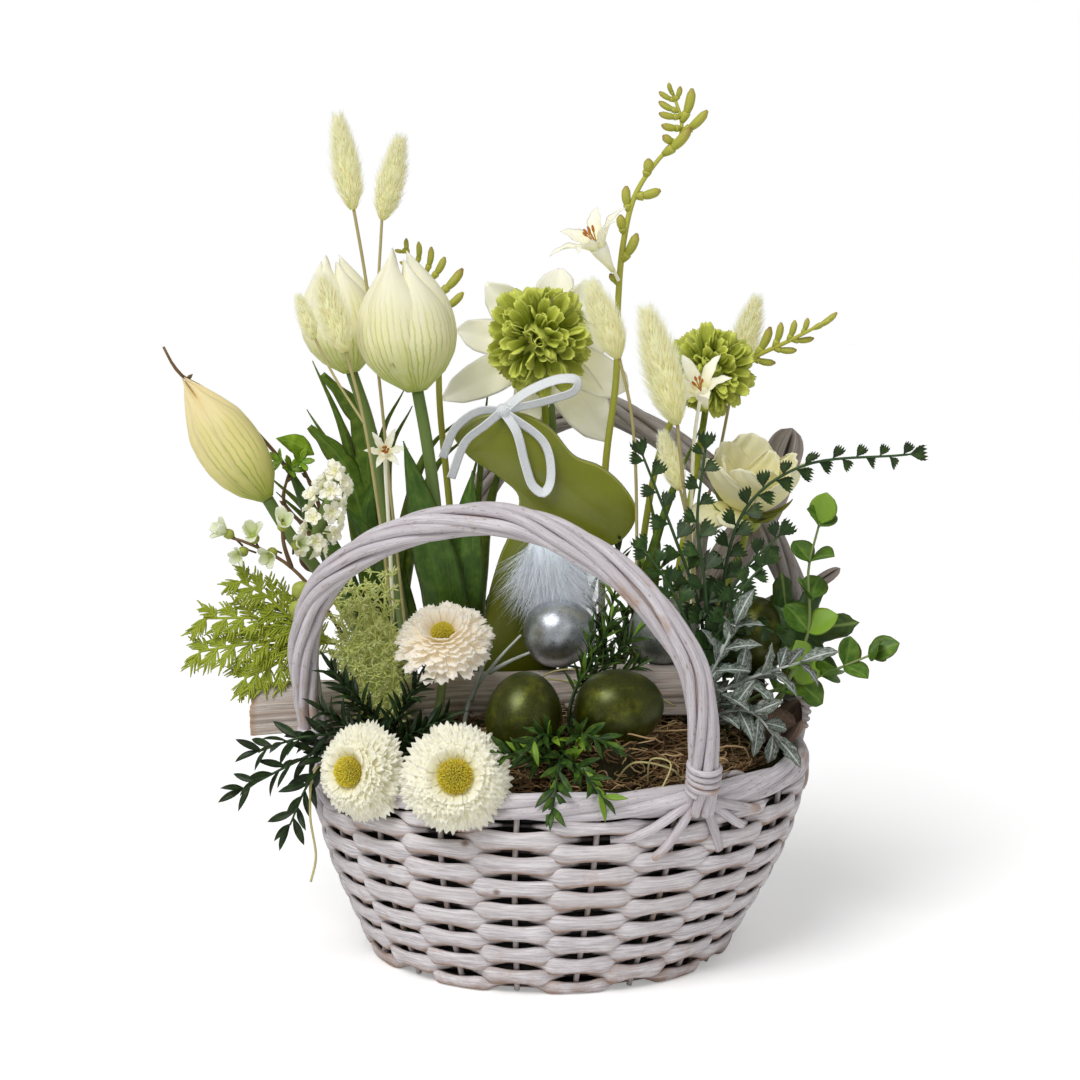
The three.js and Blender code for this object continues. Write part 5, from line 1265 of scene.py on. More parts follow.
def build_pompom(number, at, axis, size, stem):
    """A ball of spoon-shaped petals, smaller and browner towards its middle."""
    piece = Piece(f"pompom_{number}", 90 + number)
    rng = piece.rng
    axis, at = unit(axis), vector(at)
    a, b = across(axis)
    count = POMPOM_PETALS
    share, angle = spiral(count)
    tilt = share**0.62 * POMPOM_SPREAD
    radial = spokes(a, b, angle)
    out = axis * np.cos(tilt)[:, None] + radial * np.sin(tilt)[:, None]
    out = unit(out + rng.normal(0, POMPOM_DISORDER, (count, 3)))
    face = unit(axis - out * np.sum(axis * out, axis=1, keepdims=True) + rng.normal(0, 0.45, (count, 3)))
    reach = size * mix(0.8, 1.0, ease(share * 2))
    root = at + out * (size * 0.3)
    length = (reach - size * 0.3) * rng.uniform(0.74, 1.1, count)
    grids = fan(rng, root, out, face, length, size * mix(0.22, 0.39, share) * rng.uniform(0.75, 1.2, count),
                SPOON, 0.0, rng.normal(0.15, 0.28, count), cup=0.75, ruffle=0.5, notch=0.035, columns=7)
    # painted shade: petals further round towards the back get a lower tone, which the look makes darker
    piece.sheets(grids, 0.45, tone=np.clip(1 - share + rng.normal(0, 0.15, count), 0, 1), width=3)
    piece.tubes(smooth(stem, 30), 2.2, tone=0.9)
    ball = even(9)
    core = at + axis * ((ball - 0.5) * size * 0.9)[:, None]
    piece.tubes(core, size * 0.42 * np.sin(ball * PI).clip(0.05), 16, tone=1.0, extra=1.0)
    piece.make("lime", "lime", f"pompom_{number}")


LILY_PETALS = (
    (207, 68, 24), (170, 56, 22), (133, 50, 25), (79, 48, 26), (50, 50, 22), (8, 46, 20), (332, 57, 26),
    (304, 68, 30), (256, 50, 24)
)


LILY_OUTLINE = [0.42, 0.74, 0.98, 1.02, 0.94, 0.7, 0.1]
LILY_MIDDLE, LILY_CONE = [3, 58, 357], [[3, 68, 357], [3, 60, 357], [3, 54, 358]]
LILY_STEM = [[3, 64, 356], [8, 70, 300], [14, 66, 200], [15, 64, 128]]


def build_lily():
    """Broad ivory petals with folded wavy edges behind the first pompom, and their stem."""
    piece = Piece("lily", 101)
    rng = piece.rng
    at, axis = vector(LILY_MIDDLE), np.array([0, -1, 0.05])
    turn, length, width = vector(LILY_PETALS).T
    turn = np.radians(turn)
    out = xyz(np.cos(turn), 0.05 * np.sin(turn), np.sin(turn))
    layer = np.arange(len(turn)) % 2
    grids = fan(rng, at + out * 3 - axis * (3 * layer)[:, None], out, axis, length, width,
                LILY_OUTLINE, rng.normal(0.12, 0.08, 9), rng.normal(-0.42, 0.3, 9), cup=0.16, ruffle=4.0,
                waves=1.8, fold=0.26, rows=24, columns=13)
    piece.sheets(grids, 0.6, width=12)
    piece.tubes(smooth(LILY_CONE, 10), profile(even(10), [4, 9, 10, 6, 1]), 16)
    piece.make("ivory", "ivory_petal", "lily")
    stem = Piece("lily_stem", 102)
    stem.tubes(smooth(LILY_STEM, 30), 3.0, tone=0.4)
    stem.make("tulip_stem", "leaf", "lily")


FREESIAS = (
    ("freesia_tall", [[40, 44, 128], [38, 42, 200], [40, 40, 286], [46, 38, 338], [47, 36, 386],
     [50, 35, 421], [57, 35, 449], [71, 35, 470], [83, 35, 482], [84, 35, 492], [81, 35, 502],
     [78, 35, 510]], ((47, 396, 42, 402, 4), (51, 410, 58, 426, 6), (51, 424, 48, 437, 5.5),
     (54, 438, 51.5, 454, 5.5), (57.5, 448, 72, 451.5, 6), (63, 461, 64.5, 470, 6), (73, 471, 89, 488, 6.4),
     (79, 479, 73, 483.5, 5), (84, 484, 99, 498, 5.8), (84, 490, 90, 511, 5.8), (83.5, 488, 72, 489.5, 4.6),
     (83.5, 494, 70.5, 496.5, 4.3), (82, 499, 70.5, 503.5, 4), (80, 504, 70.5, 509, 3.4),
     (81, 503, 83, 512, 3.4), (78, 508, 76, 514, 3))),
    ("freesia_left", [[-52, 46, 128], [-54, 44, 240], [-61, 36, 330], [-60, 33, 376], [-61, 34, 390],
     [-67, 35, 401], [-75, 36, 409], [-82, 36, 417]], ((-60, 380, -46, 391, 5), (-61, 389, -46.5, 405, 5.5),
     (-65, 398, -57, 412, 4.6), (-69, 403, -65, 418, 4), (-74, 407, -72.5, 421, 3.6),
     (-79, 412, -80, 423, 3), (-62, 393, -73, 391.5, 4), (-67, 401, -79, 400.5, 3.6),
     (-73, 406, -84, 409, 3), (-80, 414, -87, 416, 2.6))),
    ("freesia_right", [[62, 76, 128], [66, 80, 240], [84, 80, 312], [110, 79, 337], [131, 71, 349],
     [154, 59, 361], [176, 47, 374]], ((99, 334, 110, 351, 5.6), (112, 338, 128.5, 356, 5),
     (134, 351, 142, 368.5, 5.6), (143, 356, 148, 371.5, 4.6), (152, 360, 156, 373, 4.2),
     (160, 365, 163.5, 374.5, 3.6), (131, 349, 146, 346, 4.6), (143, 355, 158, 354.5, 4.4),
     (154, 361, 168, 362, 4), (166, 368, 181, 378, 4), (120, 342, 133, 338, 4))),
)


BUD_SHAPE, BUD_TIP = [0.42, 0.5, 0.78, 0.98, 1.0, 0.92, 0.3], [0, 0, 0, 0, 0.15, 0.9]
BUD_HUSK = [0.5, 0.7, 0.85, 0.95, 0.98]


def build_freesia(name, stem, buds, seed):
    """A curved stem with a comb of capsule-shaped buds, brown at their tips."""
    piece = Piece(name, seed)
    rng = piece.rng
    line = smooth(stem, 120)
    piece.tubes(line, profile(even(120), [2.3, 2.2, 2.1, 1.8, 0.9]), 10, tone=0.4)
    rise = even(14)
    for x, z, tip_x, tip_z, thick in buds:
        near = line[np.argmin(np.hypot(line[:, 0] - x, line[:, 2] - z))]
        tip = np.array([tip_x, near[1] + rng.normal(-1.5, 2.0), tip_z])
        reach = np.linalg.norm(tip - near)
        bow = unit(np.cross(tip - near, [0, 1, 0])) * reach * 0.06 * (1 if tip_x > x else -1)
        path = near + (tip - near) * rise[:, None] - bow * np.sin(rise * PI)[:, None]
        brown = profile(rise, BUD_TIP) * rng.uniform(0.3, 1)
        piece.tubes(path, thick / 2 * profile(rise, BUD_SHAPE), 10, tone=rng.random(), extra=brown)
        piece.tubes(path[:5], thick / 2 * np.array(BUD_HUSK), tone=0.1)
    piece.make("bud", "bud", name)


STAR_OUTLINE, STAR_TUBE = [0.6, 0.85, 1.0, 0.9, 0.6, 0.03], [0.05, 0.08, 0.12, 0.17, 0.19]
STAR_TUBE_LENGTH = 0.6


def add_star(piece, at, axis, size, rng):
    """A slim trumpet that opens into six pointed petals."""
    at, axis = vector(at), unit(axis)
    out = ring_of(6, axis, rng.uniform(0, 1))
    grids = fan(rng, at - axis * size * 0.12 + out * size * 0.1, out, axis, size * rng.uniform(0.92, 1.08, 6),
                size * 0.33, STAR_OUTLINE, 1.0, rng.normal(-1.0, 0.16, 6), cup=0.25, ruffle=0.7, fold=0.12,
                rows=16, columns=9)
    piece.sheets(grids, 0.45, width=size * 0.18)
    t = even(10)
    tube = at - axis * (STAR_TUBE_LENGTH * size * (1 - t))[:, None] + axis * 1.5
    piece.tubes(tube - axis * size * 0.08, size * profile(t, STAR_TUBE), 12)


def add_stamens(piece, at, axis, size, rng):
    """Six orange threads with thicker ends."""
    at, axis = vector(at), unit(axis)
    t = even(8)
    for way in ring_of(6, axis, 0.3, 0.6, rng):
        aim = unit(axis + way * 0.28)
        line = at + aim * (t * size * 0.42)[:, None]
        piece.tubes(line, 0.32, 6, tone=0.9)
        piece.tubes(line[-3:] + way * 0.3, [0.5, 0.95, 0.5], 7, tone=0.2)


STARS = (
    (1, [34, 22, 419], [-0.5, -0.3, 0.8], 30, [[34, 22, 419], [42, 29, 408], [47, 33, 398]]),
    (2, [95, 4, 334], [-0.25, -0.6, 0.65], 25, [[92, 22, 120], [92, 20, 200], [91, 18, 260], [92, 12, 305],
     [95, 5, 332]]),
    (3, [-92, 4, 297], [0.1, -0.8, 0.5], 15, [[-90, 26, 130], [-90, 20, 220], [-92, 9, 286],
     [-92, 5, 296]]),
)


def build_star(number, at, axis, size, stem):
    """A white freesia flower with its stem and stamens."""
    piece = Piece(f"star_{number}", 110 + number)
    add_star(piece, at, axis, size, piece.rng)
    piece.tubes(smooth(stem, 30), 1.2)
    piece.make("ivory", "ivory_petal", f"star_{number}")
    dots = Piece(f"star_{number}_stamens", 115 + number)
    add_stamens(dots, at, axis, size, dots.rng)
    dots.make("stamen", "ivory_petal", f"star_{number}")


CUP_REACH, CUP_WIDE = [0.12, 0.55, 0.8, 0.93, 1.0], [0.8, 1.1, 1.15, 1.05, 0.8, 0.45]
CUP_BASE, CUP_TIP = [126, 22, 258], [128, 11, 297]
CUP_STEM = [[125, 26, 247], [122, 34, 232], [112, 44, 200], [104, 48, 128]]
CUP_RADIUS, CUP_LAYERS, CUP_HEIGHTS = 31, (1, 0.82, 0.6), (1, 0.96, 0.9)
DROOP_OUTLINE, SEPAL_OUTLINE = [0.3, 0.75, 1.0, 1.0, 0.75, 0.2], [0.6, 0.95, 1.0, 0.8, 0.5, 0.03]


def build_cream_bloom():
    """A crinkled pale-yellow cup in a calyx of curved sepals."""
    piece = Piece("cream_bloom", 121)
    rng = piece.rng
    base, tip = vector(CUP_BASE), vector(CUP_TIP)
    axis, height = unit(tip - base), np.linalg.norm(tip - base)
    a, b = across(axis)
    t, s = even(22), across_zero(19)
    for i in range(9):
        layer = i // 3
        start = i * TURN / 3 + layer * 0.7
        reach = CUP_RADIUS * profile(t, CUP_REACH) * CUP_LAYERS[layer]
        angle = start + profile(t, CUP_WIDE)[:, None] * s
        crinkle = 1.1 * np.sin(7 * s[None] * PI / 2 + 5 * t[:, None] * PI + i) * t[:, None] ** 1.3
        rise = height * t[:, None] * (1 - 0.16 * s**2) * CUP_HEIGHTS[layer]
        out = reach[:, None] * (1 - 0.05 * s**2) + crinkle
        grid = base + axis * rise[..., None] + spokes(a, b, angle) * out[..., None]
        piece.sheets(grid[None], 0.5, width=14)
    droop = np.array([[-0.9, -0.35, -0.12], [-0.55, -0.75, -0.2]])
    grids = fan(rng, [[118, 17, 264.0], [122, 12, 262]], droop, [0.1, -0.5, 0.85], [32, 24], [25, 22],
                DROOP_OUTLINE, 0.1, -0.4, cup=-0.25, ruffle=1.2, waves=1.5, rows=18, columns=13)
    piece.sheets(grids, 0.5, width=12)
    piece.make("cup", "cream_petal", "cream_bloom")
    calyx = Piece("cream_bloom_calyx", 122)
    rng = calyx.rng
    calyx.tubes(smooth(CUP_STEM, 34), 2.4, 10)
    bulb = smooth([[125, 26, 246], [125.5, 24, 252], [126, 22.4, 258.6]], 12)
    calyx.tubes(bulb, profile(even(12), [2.5, 6, 8, 8, 5]), 14)
    out = ring_of(7, axis, 0.2)
    grids = fan(rng, np.array([126, 23, 255.0]) + out * 4, out, axis, 27, 10, SEPAL_OUTLINE, 0.2,
                rng.normal(1.0, 0.12, 7), cup=0.3, rows=18, columns=7)
    calyx.sheets(grids, 0.7, width=5)
    calyx.make("calyx", "lime", "cream_bloom_calyx")


TAIL_SHAPE = [0.3, 0.78, 0.96, 1.0, 0.97, 0.9, 0.78, 0.62, 0.42, 0.14]
TAIL_HAIRS, TAIL_RADIUS, HAIR_RADIUS = 2300, 11, 0.18


def build_tails(name, heads, stems, seed):
    """Bunny-tail grass: a dense core of spikelets inside a halo of soft hair."""
    piece = Piece(name, seed)
    rng = piece.rng
    for base, tip, radius in heads:
        base, tip = vector(base), vector(tip)
        axis, length = unit(tip - base), np.linalg.norm(tip - base)
        a, b = across(axis)
        t = even(22)
        body = radius * 0.56 * profile(t, TAIL_SHAPE)
        centre = base + axis * (t * length * 0.9)[:, None]
        piece.tubes(centre, body, 18, tone=0.2)
        hairs = int(TAIL_HAIRS * radius / TAIL_RADIUS)
        at = rng.random(hairs) ** 0.95
        turn = rng.uniform(0, TURN, hairs)
        out = spokes(a, b, turn)
        shape = profile(at, TAIL_SHAPE)
        root = base + axis * (at * length * 0.88)[:, None] + out * (radius * 0.5 * shape)[:, None]
        aim = unit(axis * (1.1 + 0.9 * at[:, None]) + out * 0.85 + rng.normal(0, 0.15, (hairs, 3)))
        reach = rng.uniform(0.5, 1.0, hairs) * radius * (0.58 + 0.4 * shape)
        s = even(3)
        lines = (strands(root, aim, reach, s)
                 + axis * (s**2 * 1.4)[:, None])
        piece.tubes(lines, HAIR_RADIUS * (1.02 - s * 0.85), 3)
    straw = Piece(name + "_stems", seed + 10)
    for stem, thick in stems:
        straw.tubes(smooth(stem, 34), thick, 7)
    straw.make("straw_stem", "straw", name)
    piece.make("tail", "straw", name)


TAILS = (
    ("bunny_tails_1", [([-110, 17, 440], [-119, 16, 498], 10.5), ([-93, 17, 434], [-81, 16, 485], 10)],
     [([[-110, 17, 442], [-104, 18, 405], [-97, 18.5, 350], [-88, 22, 250], [-76, 24, 130]], 1.0),
     ([[-93, 17, 436], [-96, 18, 395], [-99, 18.3, 362]], 0.9)]),
    ("bunny_tails_2", [([-112, -28, 359], [-126, -28, 404], 11), ([-130, -26, 366], [-139, -25, 392], 6)],
     [([[-112, -28, 361], [-103, -25, 325], [-94, -12, 258], [-86, 18, 150], [-86, 18, 130]], 1.0),
     ([[-130, -26, 368], [-118, -26, 344], [-102, -24, 318]], 0.8)]),
    ("bunny_tail_3", [([46, -5, 354], [28, -5, 400], 12)], [([[46, -5, 356], [54, -2, 320], [58, 12, 250],
     [56, 26, 130]], 1.0)]),
    ("bunny_tails_4", [([80, -14, 316], [60, -15, 388], 14), ([83, 4, 275], [72, 4, 311], 8)],
     [([[80, -14, 318], [84, -10, 283], [90, 2, 240], [96, 20, 130]], 1.1), ([[83, 4, 277], [88, 4, 255],
     [91, 3, 232]], 0.9)]),
    ("bunny_tail_5", [([123, 96, 336], [137, 96, 388], 11)], [([[123, 96, 338], [114, 92, 290],
     [92, 80, 200], [82, 72, 114]], 1.0)]),
)
POMPOMS = (
    (1, [0, 36, 363], [0, -1, 0.1], 34, [[0, 38, 360], [3, 44, 320], [6, 44, 220], [5, 42, 130]]),
    (2, [105, 58, 342], [-0.1, -0.95, 0.3], 28, [[105, 60, 340], [100, 66, 300], [84, 62, 200],
     [78, 60, 128]]),
)

for row in BELLIS:
    build_bellis(*row)
stems = Piece("bellis_stems", 65)
for path in BELLIS_STEMS:
    stems.tubes(smooth(path, 24), BELLIS_STEM_RADIUS, 10)
stems.make("tulip_stem", "fresh_leaf", "bellis_stems")
for row in TULIPS:
    build_tulip(*row)
for row in TULIP_GREENS:
    build_tulip_greens(*row)
for row in POMPOMS:
    build_pompom(*row)
build_lily()
for number, row in enumerate(FREESIAS):
    build_freesia(*row, 105 + number)
for row in STARS:
    build_star(*row)
build_cream_bloom()
for number, row in enumerate(TAILS):
    build_tails(*row, 130 + number)


# ---------------------------------------------------------------- foliage

LANCE = [0.08, 0.55, 0.92, 1.0, 0.86, 0.55, 0.03]
ROUND = [0.2, 0.72, 0.96, 1.0, 0.9, 0.62, 0.06]
FAN = [0.1, 0.14, 0.42, 0.74, 0.96, 1.0, 0.9]
NEEDLE = [0.4, 0.8, 1.0, 0.9, 0.6, 0.05]


LAST_LEAF, LEAF_LEAN = 0.99, 0.1


def add_leaves(piece, path, count, length, width, widths, start=0.2, spread=0.85, turn=PI, shrink=0.45,
               curl=-0.5, face=(0, -0.5, 0.6), thick=0.4, cup=0.2, fold=0.15, first=0.0, pairs=1, **shape):
    """Leaves along a path, turned from one to the next; the last one ends the path."""
    rng = piece.rng
    line = smooth(path, 90)
    along, side, other = directions(line, (0.2, -1.0, 0.3))
    at = np.repeat(np.linspace(start, LAST_LEAF, count), pairs)
    total = len(at)
    k = (at * 89).astype(int)
    angle = first + np.repeat(np.arange(count), pairs) * turn
    angle = angle + np.tile(np.arange(pairs), count) * TURN / pairs + rng.normal(0, 0.18, total)
    out = spokes(along[k], spokes(side[k], other[k], angle), spread * rng.uniform(0.85, 1.15, total))
    size = mix(1.0, shrink, ((at - start) / (LAST_LEAF - start)) ** 1.5) * rng.uniform(0.88, 1.08, total)
    out = np.vstack([out, along[-1:]])
    k, size = np.append(k, 89), np.append(size, 0.85)
    total += 1
    facing = np.asarray(face, float) + along[k] * 0.5 + rng.normal(0, 0.12, (total, 3))
    grids = fan(rng, line[k], out, facing, length * size, width * size, widths, LEAF_LEAN,
                curl + rng.normal(0, 0.15, total), cup=cup, fold=fold, **shape)
    piece.sheets(grids, thick, width=width / 2)


def build_sprig(name, node, slot, looks, radius, paths, seed, **leaves):
    """One plant: its stems, and its leaves as a piece of their own."""
    nodes = (node,) if node else ()
    stems = Piece(name + "_stems", seed)
    for path in paths:
        line = smooth(path, 36)
        stems.tubes(line, radius * np.linspace(1.0, 0.5, 36), 7, tone=0.4)
    stems.make(looks[1], slot, *nodes)
    blades = Piece(name + "_leaves", seed + 1)
    for path in paths:
        add_leaves(blades, path, **leaves)
    blades.make(looks[0], slot, *nodes)


FERN_RIBS = rooted(
    [99, -26, 128],
    [[94, -28, 205], [79, -30, 250], [60, -30, 298]],
    [[97, -32, 215], [91, -34, 262], [95, -34, 302]],
    [[100, -36, 190], [114, -42, 206], [136, -44, 198]],
    [[90, -34, 190], [74, -40, 226], [62, -40, 244]],
    [[104, -30, 200], [118, -32, 232], [138, -30, 252]],
    [[104, -36, 180], [116, -42, 222], [128, -40, 236]],
)
FERN_LONG = [[[112, -16, 128], [108, -14, 220], [121, -18, 268], [152, -20, 292], [214, -20, 299]]]
ROUND_STEMS = rooted(
    [112, 8, 128],
    [[128, -2, 150], [156, 2, 158], [198, 0, 176]],
    [[140, -4, 148], [160, -2, 190], [160, 0, 228], [166, 0, 256]],
)
FROST_STEMS = rooted(
    [86, -44, 128],
    [[98, -46, 158], [120, -50, 172], [150, -50, 182]],
    [[104, -52, 152], [122, -58, 154], [134, -64, 142]],
    [[94, -46, 162], [104, -50, 186], [112, -52, 204]],
)
NEEDLE_STEMS = rooted(
    [-88, -52, 124],
    [[-96, -54, 150], [-112, -58, 170]],
    [[-104, -60, 142], [-124, -62, 156]],
    [[-82, -54, 150], [-70, -58, 172]],
    [[-74, -62, 142], [-54, -66, 152]],
    [[-70, -66, 134], [-40, -74, 140]],
    [[-104, -44, 150], [-120, -46, 176]],
)
RUSCUS_STEMS = rooted(
    [-96, -42, 124],
    [[-112, -56, 138], [-138, -66, 128], [-170, -70, 112]],
    [[-112, -58, 137], [-132, -70, 116], [-143, -74, 92]],
    [[-112, -56, 140], [-136, -64, 141], [-160, -68, 134]],
)
FRONT_STEMS = rooted(
    [16, -62, 124],
    [[14, -88, 138], [10, -116, 136], [7, -134, 118]],
    [[16, -92, 134], [24, -118, 134], [34, -132, 124]],
    [[4, -96, 136], [-10, -112, 142], [-20, -122, 146]],
    [[20, -88, 146], [26, -104, 152], [36, -112, 150]],
    [[8, -88, 146], [0, -106, 152], [-8, -118, 148]],
)
TUFT_STEM = rooted(
    [16, -62, 124],
    [[18, -52, 160], [34, -34, 186], [42, -32, 204]],
    [[22, -46, 158], [42, -30, 180], [56, -30, 194]],
    [[22, -48, 152], [40, -34, 168], [58, -32, 176]],
    [[18, -50, 156], [28, -34, 180], [30, -32, 196]],
)
BACK_STEMS = [
    [[40, 20, 124], [42, 18, 165], [34, 14, 196], [28, 14, 218]],
    [[42, 22, 124], [48, 18, 170], [54, 16, 205], [60, 14, 226]],
    [[44, 24, 124], [58, 20, 164], [72, 18, 196], [84, 14, 222]],
    [[40, 24, 124], [40, 24, 180], [46, 22, 214], [48, 20, 238]],
    [[40, 20, 124], [30, 20, 160], [16, 18, 186], [6, 22, 208]],
    [[-20, 84, 124], [-30, 92, 170], [-40, 98, 205], [-56, 98, 224]],
    [[-16, 88, 124], [-10, 98, 175], [-2, 102, 214], [8, 102, 232]],
    [[50, 92, 120], [56, 100, 165], [66, 104, 200], [80, 104, 214]],
    [[-60, 80, 120], [-76, 90, 160], [-94, 92, 182], [-112, 88, 190]],
]

FERN_LEAF = dict(widths=FAN, notch=0.13, comb=4.0, teeth=0.05, columns=17, rows=13, fold=0.06, cup=0.1,
                 curl=-0.2, first=PI / 2, face=(0, -1, 0.3))
FERN_LOOKS, DARK_LOOKS, FRONT_LOOKS = ((leaf, "fern_stem") for leaf in ("fern", "dark", "front_leaf"))

build_sprig("fern", "fern_fronds", "dark_leaf", FERN_LOOKS, 1.5, FERN_RIBS, 201,
            count=12, length=13, width=12, start=0.38, spread=1.0, shrink=0.7, **FERN_LEAF)
build_sprig("long_fern", "fern_long", "dark_leaf", FERN_LOOKS, 1.4, FERN_LONG, 203,
            count=24, length=12.5, width=11, start=0.34, spread=0.9, shrink=0.6, **FERN_LEAF)
build_sprig("round_leaf", "round_leaf_sprigs", "fresh_leaf", ("fresh", "tulip_stem"), 1.4, ROUND_STEMS, 205,
            count=5, length=22, width=20, widths=ROUND, start=0.42, spread=0.95, shrink=0.7, columns=9,
            rows=12, turn=1.4, pairs=2, cup=0.22, fold=0.05, curl=-0.35, thick=0.6, face=(0, -0.8, 0.5))
build_sprig("frosted", "frosted_sprig", "frosted_leaf", ("frost", "frost_stem"), 1.3, FROST_STEMS, 207,
            count=13, length=28, width=12, widths=LANCE, start=0.26, spread=0.95, shrink=0.7, columns=7,
            rows=14, turn=2.2, ruffle=0.9)
build_sprig("needle", "needle_foliage", "dark_leaf", DARK_LOOKS, 1.1, NEEDLE_STEMS, 209,
            count=30, length=17, width=3.6, widths=NEEDLE, start=0.18, spread=0.8, shrink=0.8, turn=GOLDEN,
            curl=-0.4, thick=0.5)
build_sprig("ruscus", "ruscus_sprig", "dark_leaf", DARK_LOOKS, 1.2, RUSCUS_STEMS, 211,
            count=16, length=19, width=5.2, widths=LANCE, start=0.38, spread=0.75, shrink=0.85, turn=2.6,
            curl=-0.35, columns=7, rows=12)
build_sprig("front", "front_sprig", "fresh_leaf", FRONT_LOOKS, 1.1, FRONT_STEMS, 213,
            count=19, length=16, width=4.0, widths=LANCE, start=0.36, spread=0.7, shrink=1.0, turn=2.5,
            curl=-0.4, thick=0.5)
build_sprig("tuft", "front_sprig", "fresh_leaf", FRONT_LOOKS, 1.0, TUFT_STEM, 215,
            count=26, length=14, width=2.6, widths=NEEDLE, start=0.5, spread=0.75, shrink=0.9, turn=GOLDEN,
            curl=-0.3)
build_sprig("back_sprigs", None, "dark_leaf", FRONT_LOOKS, 1.1, BACK_STEMS, 217,
            count=40, length=17, width=3.6, widths=NEEDLE, start=0.08, spread=0.8, shrink=0.85, turn=GOLDEN,
            curl=-0.35, thick=0.45)


GRASS_ROOT = [-90, 56, 114]
GRASS_WIDTHS, LOBED_WIDTHS = [3, 7, 8.5, 8, 5.5, 0.4], [4, 10, 13, 14, 11, 3]
GRASS = ([[-110, 64, 220], [-120, 62, 300], [-140, 62, 348]],
         [[-112, 62, 230], [-124, 62, 284], [-144, 62, 318]],
         [[-96, 64, 220], [-98, 68, 300], [-84, 72, 330]],
         [[-90, 66, 210], [-70, 72, 290], [-46, 74, 314]],
         [[-118, 60, 200], [-140, 58, 250], [-168, 56, 278]])
LOBED_GRASS = ([[-98, 62, 200], [-105, 60, 262], [-111, 60, 312], [-134, 60, 340]],
               [[-102, 60, 200], [-110, 58, 250], [-122, 56, 286], [-142, 56, 308]])


def build_grass():
    """Long narrow blades that rise from one root behind the tulips."""
    piece = Piece("grass_blades", 221)
    for path in GRASS:
        for shift in (0, 5):
            line = [np.array(GRASS_ROOT) + [shift, shift, 0]]
            line += [np.array(p) + [shift * 0.9, shift * 0.7, -shift * 2.2] for p in path]
            grid = blade(line, GRASS_WIDTHS, np.array([1, 0.35, 0]), 0.2, 46, ruffle=0.3)
            piece.sheets(grid, 0.6, width=4)
    for path in LOBED_GRASS:
        grid = blade(path, LOBED_WIDTHS, np.array([1, 0.2, 0]), 0.12, 70, 9, ruffle=0.5, lobes=0.3)
        piece.sheets(grid, 0.7, width=5)
    piece.make("grass", "leaf", "grass_blades")


IVY_LOBES = ((0.0, 1.0, 0.5), (0.95, 0.92, 0.42), (-0.95, 0.92, 0.42), (1.9, 0.72, 0.44), (-1.9, 0.72, 0.44))
IVY_SWEEP = 2.75
IVY_STALK, IVY_FACE = [[150, 19, 194], [156, 16, 178], [145, 2, 150], [122, -2, 114]], [0.15, -0.95, 0.3]
IVY_LEAVES = (([150, 19, 190], [-0.1, 0.0, 1], 32), ([154, 12, 188], [1, 0.0, 0.15], 38))


def lobed_grid(at, out, face, reach):
    """A lobed, toothed leaf as a grid from its foot to its outline."""
    out, face = unit(out), unit(face)
    face = unit(face - out * np.dot(out, face))
    side = np.cross(out, face)
    angle = np.linspace(-IVY_SWEEP, IVY_SWEEP, 73)
    outline = np.zeros(73)
    for place, size, width in IVY_LOBES:
        outline = np.maximum(outline, size * np.exp(-((angle - place) / width) ** 2))
    outline = np.maximum(outline, 0.5) * (1 + 0.045 * np.cos(angle * 31))
    t = np.linspace(0.02, 1, 12)[:, None]
    flat = outline[None] * t * reach
    lift = 0.1 * reach * np.cos(angle * 5)[None] * t**1.5 * 0.5 - 0.12 * reach * t**2
    grid = (vector(at) + out * (np.cos(angle) * flat)[..., None]
            + side * (np.sin(angle) * flat)[..., None] + face * lift[..., None])
    return grid[None]


def build_ivy():
    """Two broad lobed leaves on one stalk."""
    piece = Piece("ivy_leaf", 223)
    stem = Piece("ivy_petiole", 224)
    stem.tubes(smooth(IVY_STALK, 30), 1.4)
    stem.make("tulip_stem", "dark_leaf", "ivy_leaf")
    for at, out, reach in IVY_LEAVES:
        grid = lobed_grid(at, out, IVY_FACE, reach)
        veins = np.abs(np.sin(np.linspace(-IVY_SWEEP, IVY_SWEEP, 73) * 3.3))
        piece.sheets(grid, 0.6 * np.linspace(1, 0.4, 12), extra=veins, width=reach / 2)
    piece.make("ivy", "dark_leaf", "ivy_leaf")


PODS = (([[99, 68, 190], [122, 92, 222], [143, 102, 252], [161, 106, 302]], 12.5, 0.95),
        ([[102, 66, 196], [132, 64, 188], [164, 65, 203], [188, 66, 218]], 8, 0.5),
        ([[99, 66, 188], [92, 50, 210], [96, 44, 236], [100, 46, 258]], 8, 0.8))
POD_STALK = [[101, 68, 200], [96, 64, 170], [94, 60, 128]]


def build_pods():
    """Dried grey pods: ribbed, tapered, split by slots painted dark as shade."""
    piece = Piece("dried_pods", 225)
    t, turn = even(50), circle(48)
    for path, radius, end in PODS:
        line = smooth(path, 50)
        _, side, other = directions(line)
        round_end = np.sqrt(np.clip(1 - (np.clip(t - 0.88, 0, 1) / 0.12) ** 2, 0.003, 1))
        body = radius * profile(t, [0.45, 0.82, 1.0, 1.0, 0.97, 0.5 + end / 2, end, end, end]) * round_end
        rib = 1 + 0.1 * np.abs(np.cos(turn * 4.5)) - 0.07
        slot = np.clip(np.cos(turn * 3 + 0.5) - 0.86, 0, 1) * np.sin(t * 5 * PI)[:, None].clip(0) * 4.2
        reach = body[:, None] * (rib[None] - slot)
        rings = line[:, None] + spokes(side[:, None], other[:, None], turn) * reach[..., None]
        flow = xyz(t[:, None] * 100, np.cos(turn) * radius, np.sin(turn) * radius)
        # painted shade: the slots darken towards the crack colour
        piece.add(rings[None], flow, xyz(t[:, None], 0.0, np.clip(slot * 3, 0, 0.9)))
    piece.tubes(smooth(POD_STALK, 20), 2.6, 10)
    piece.make("pod", "dried", "dried_pods")


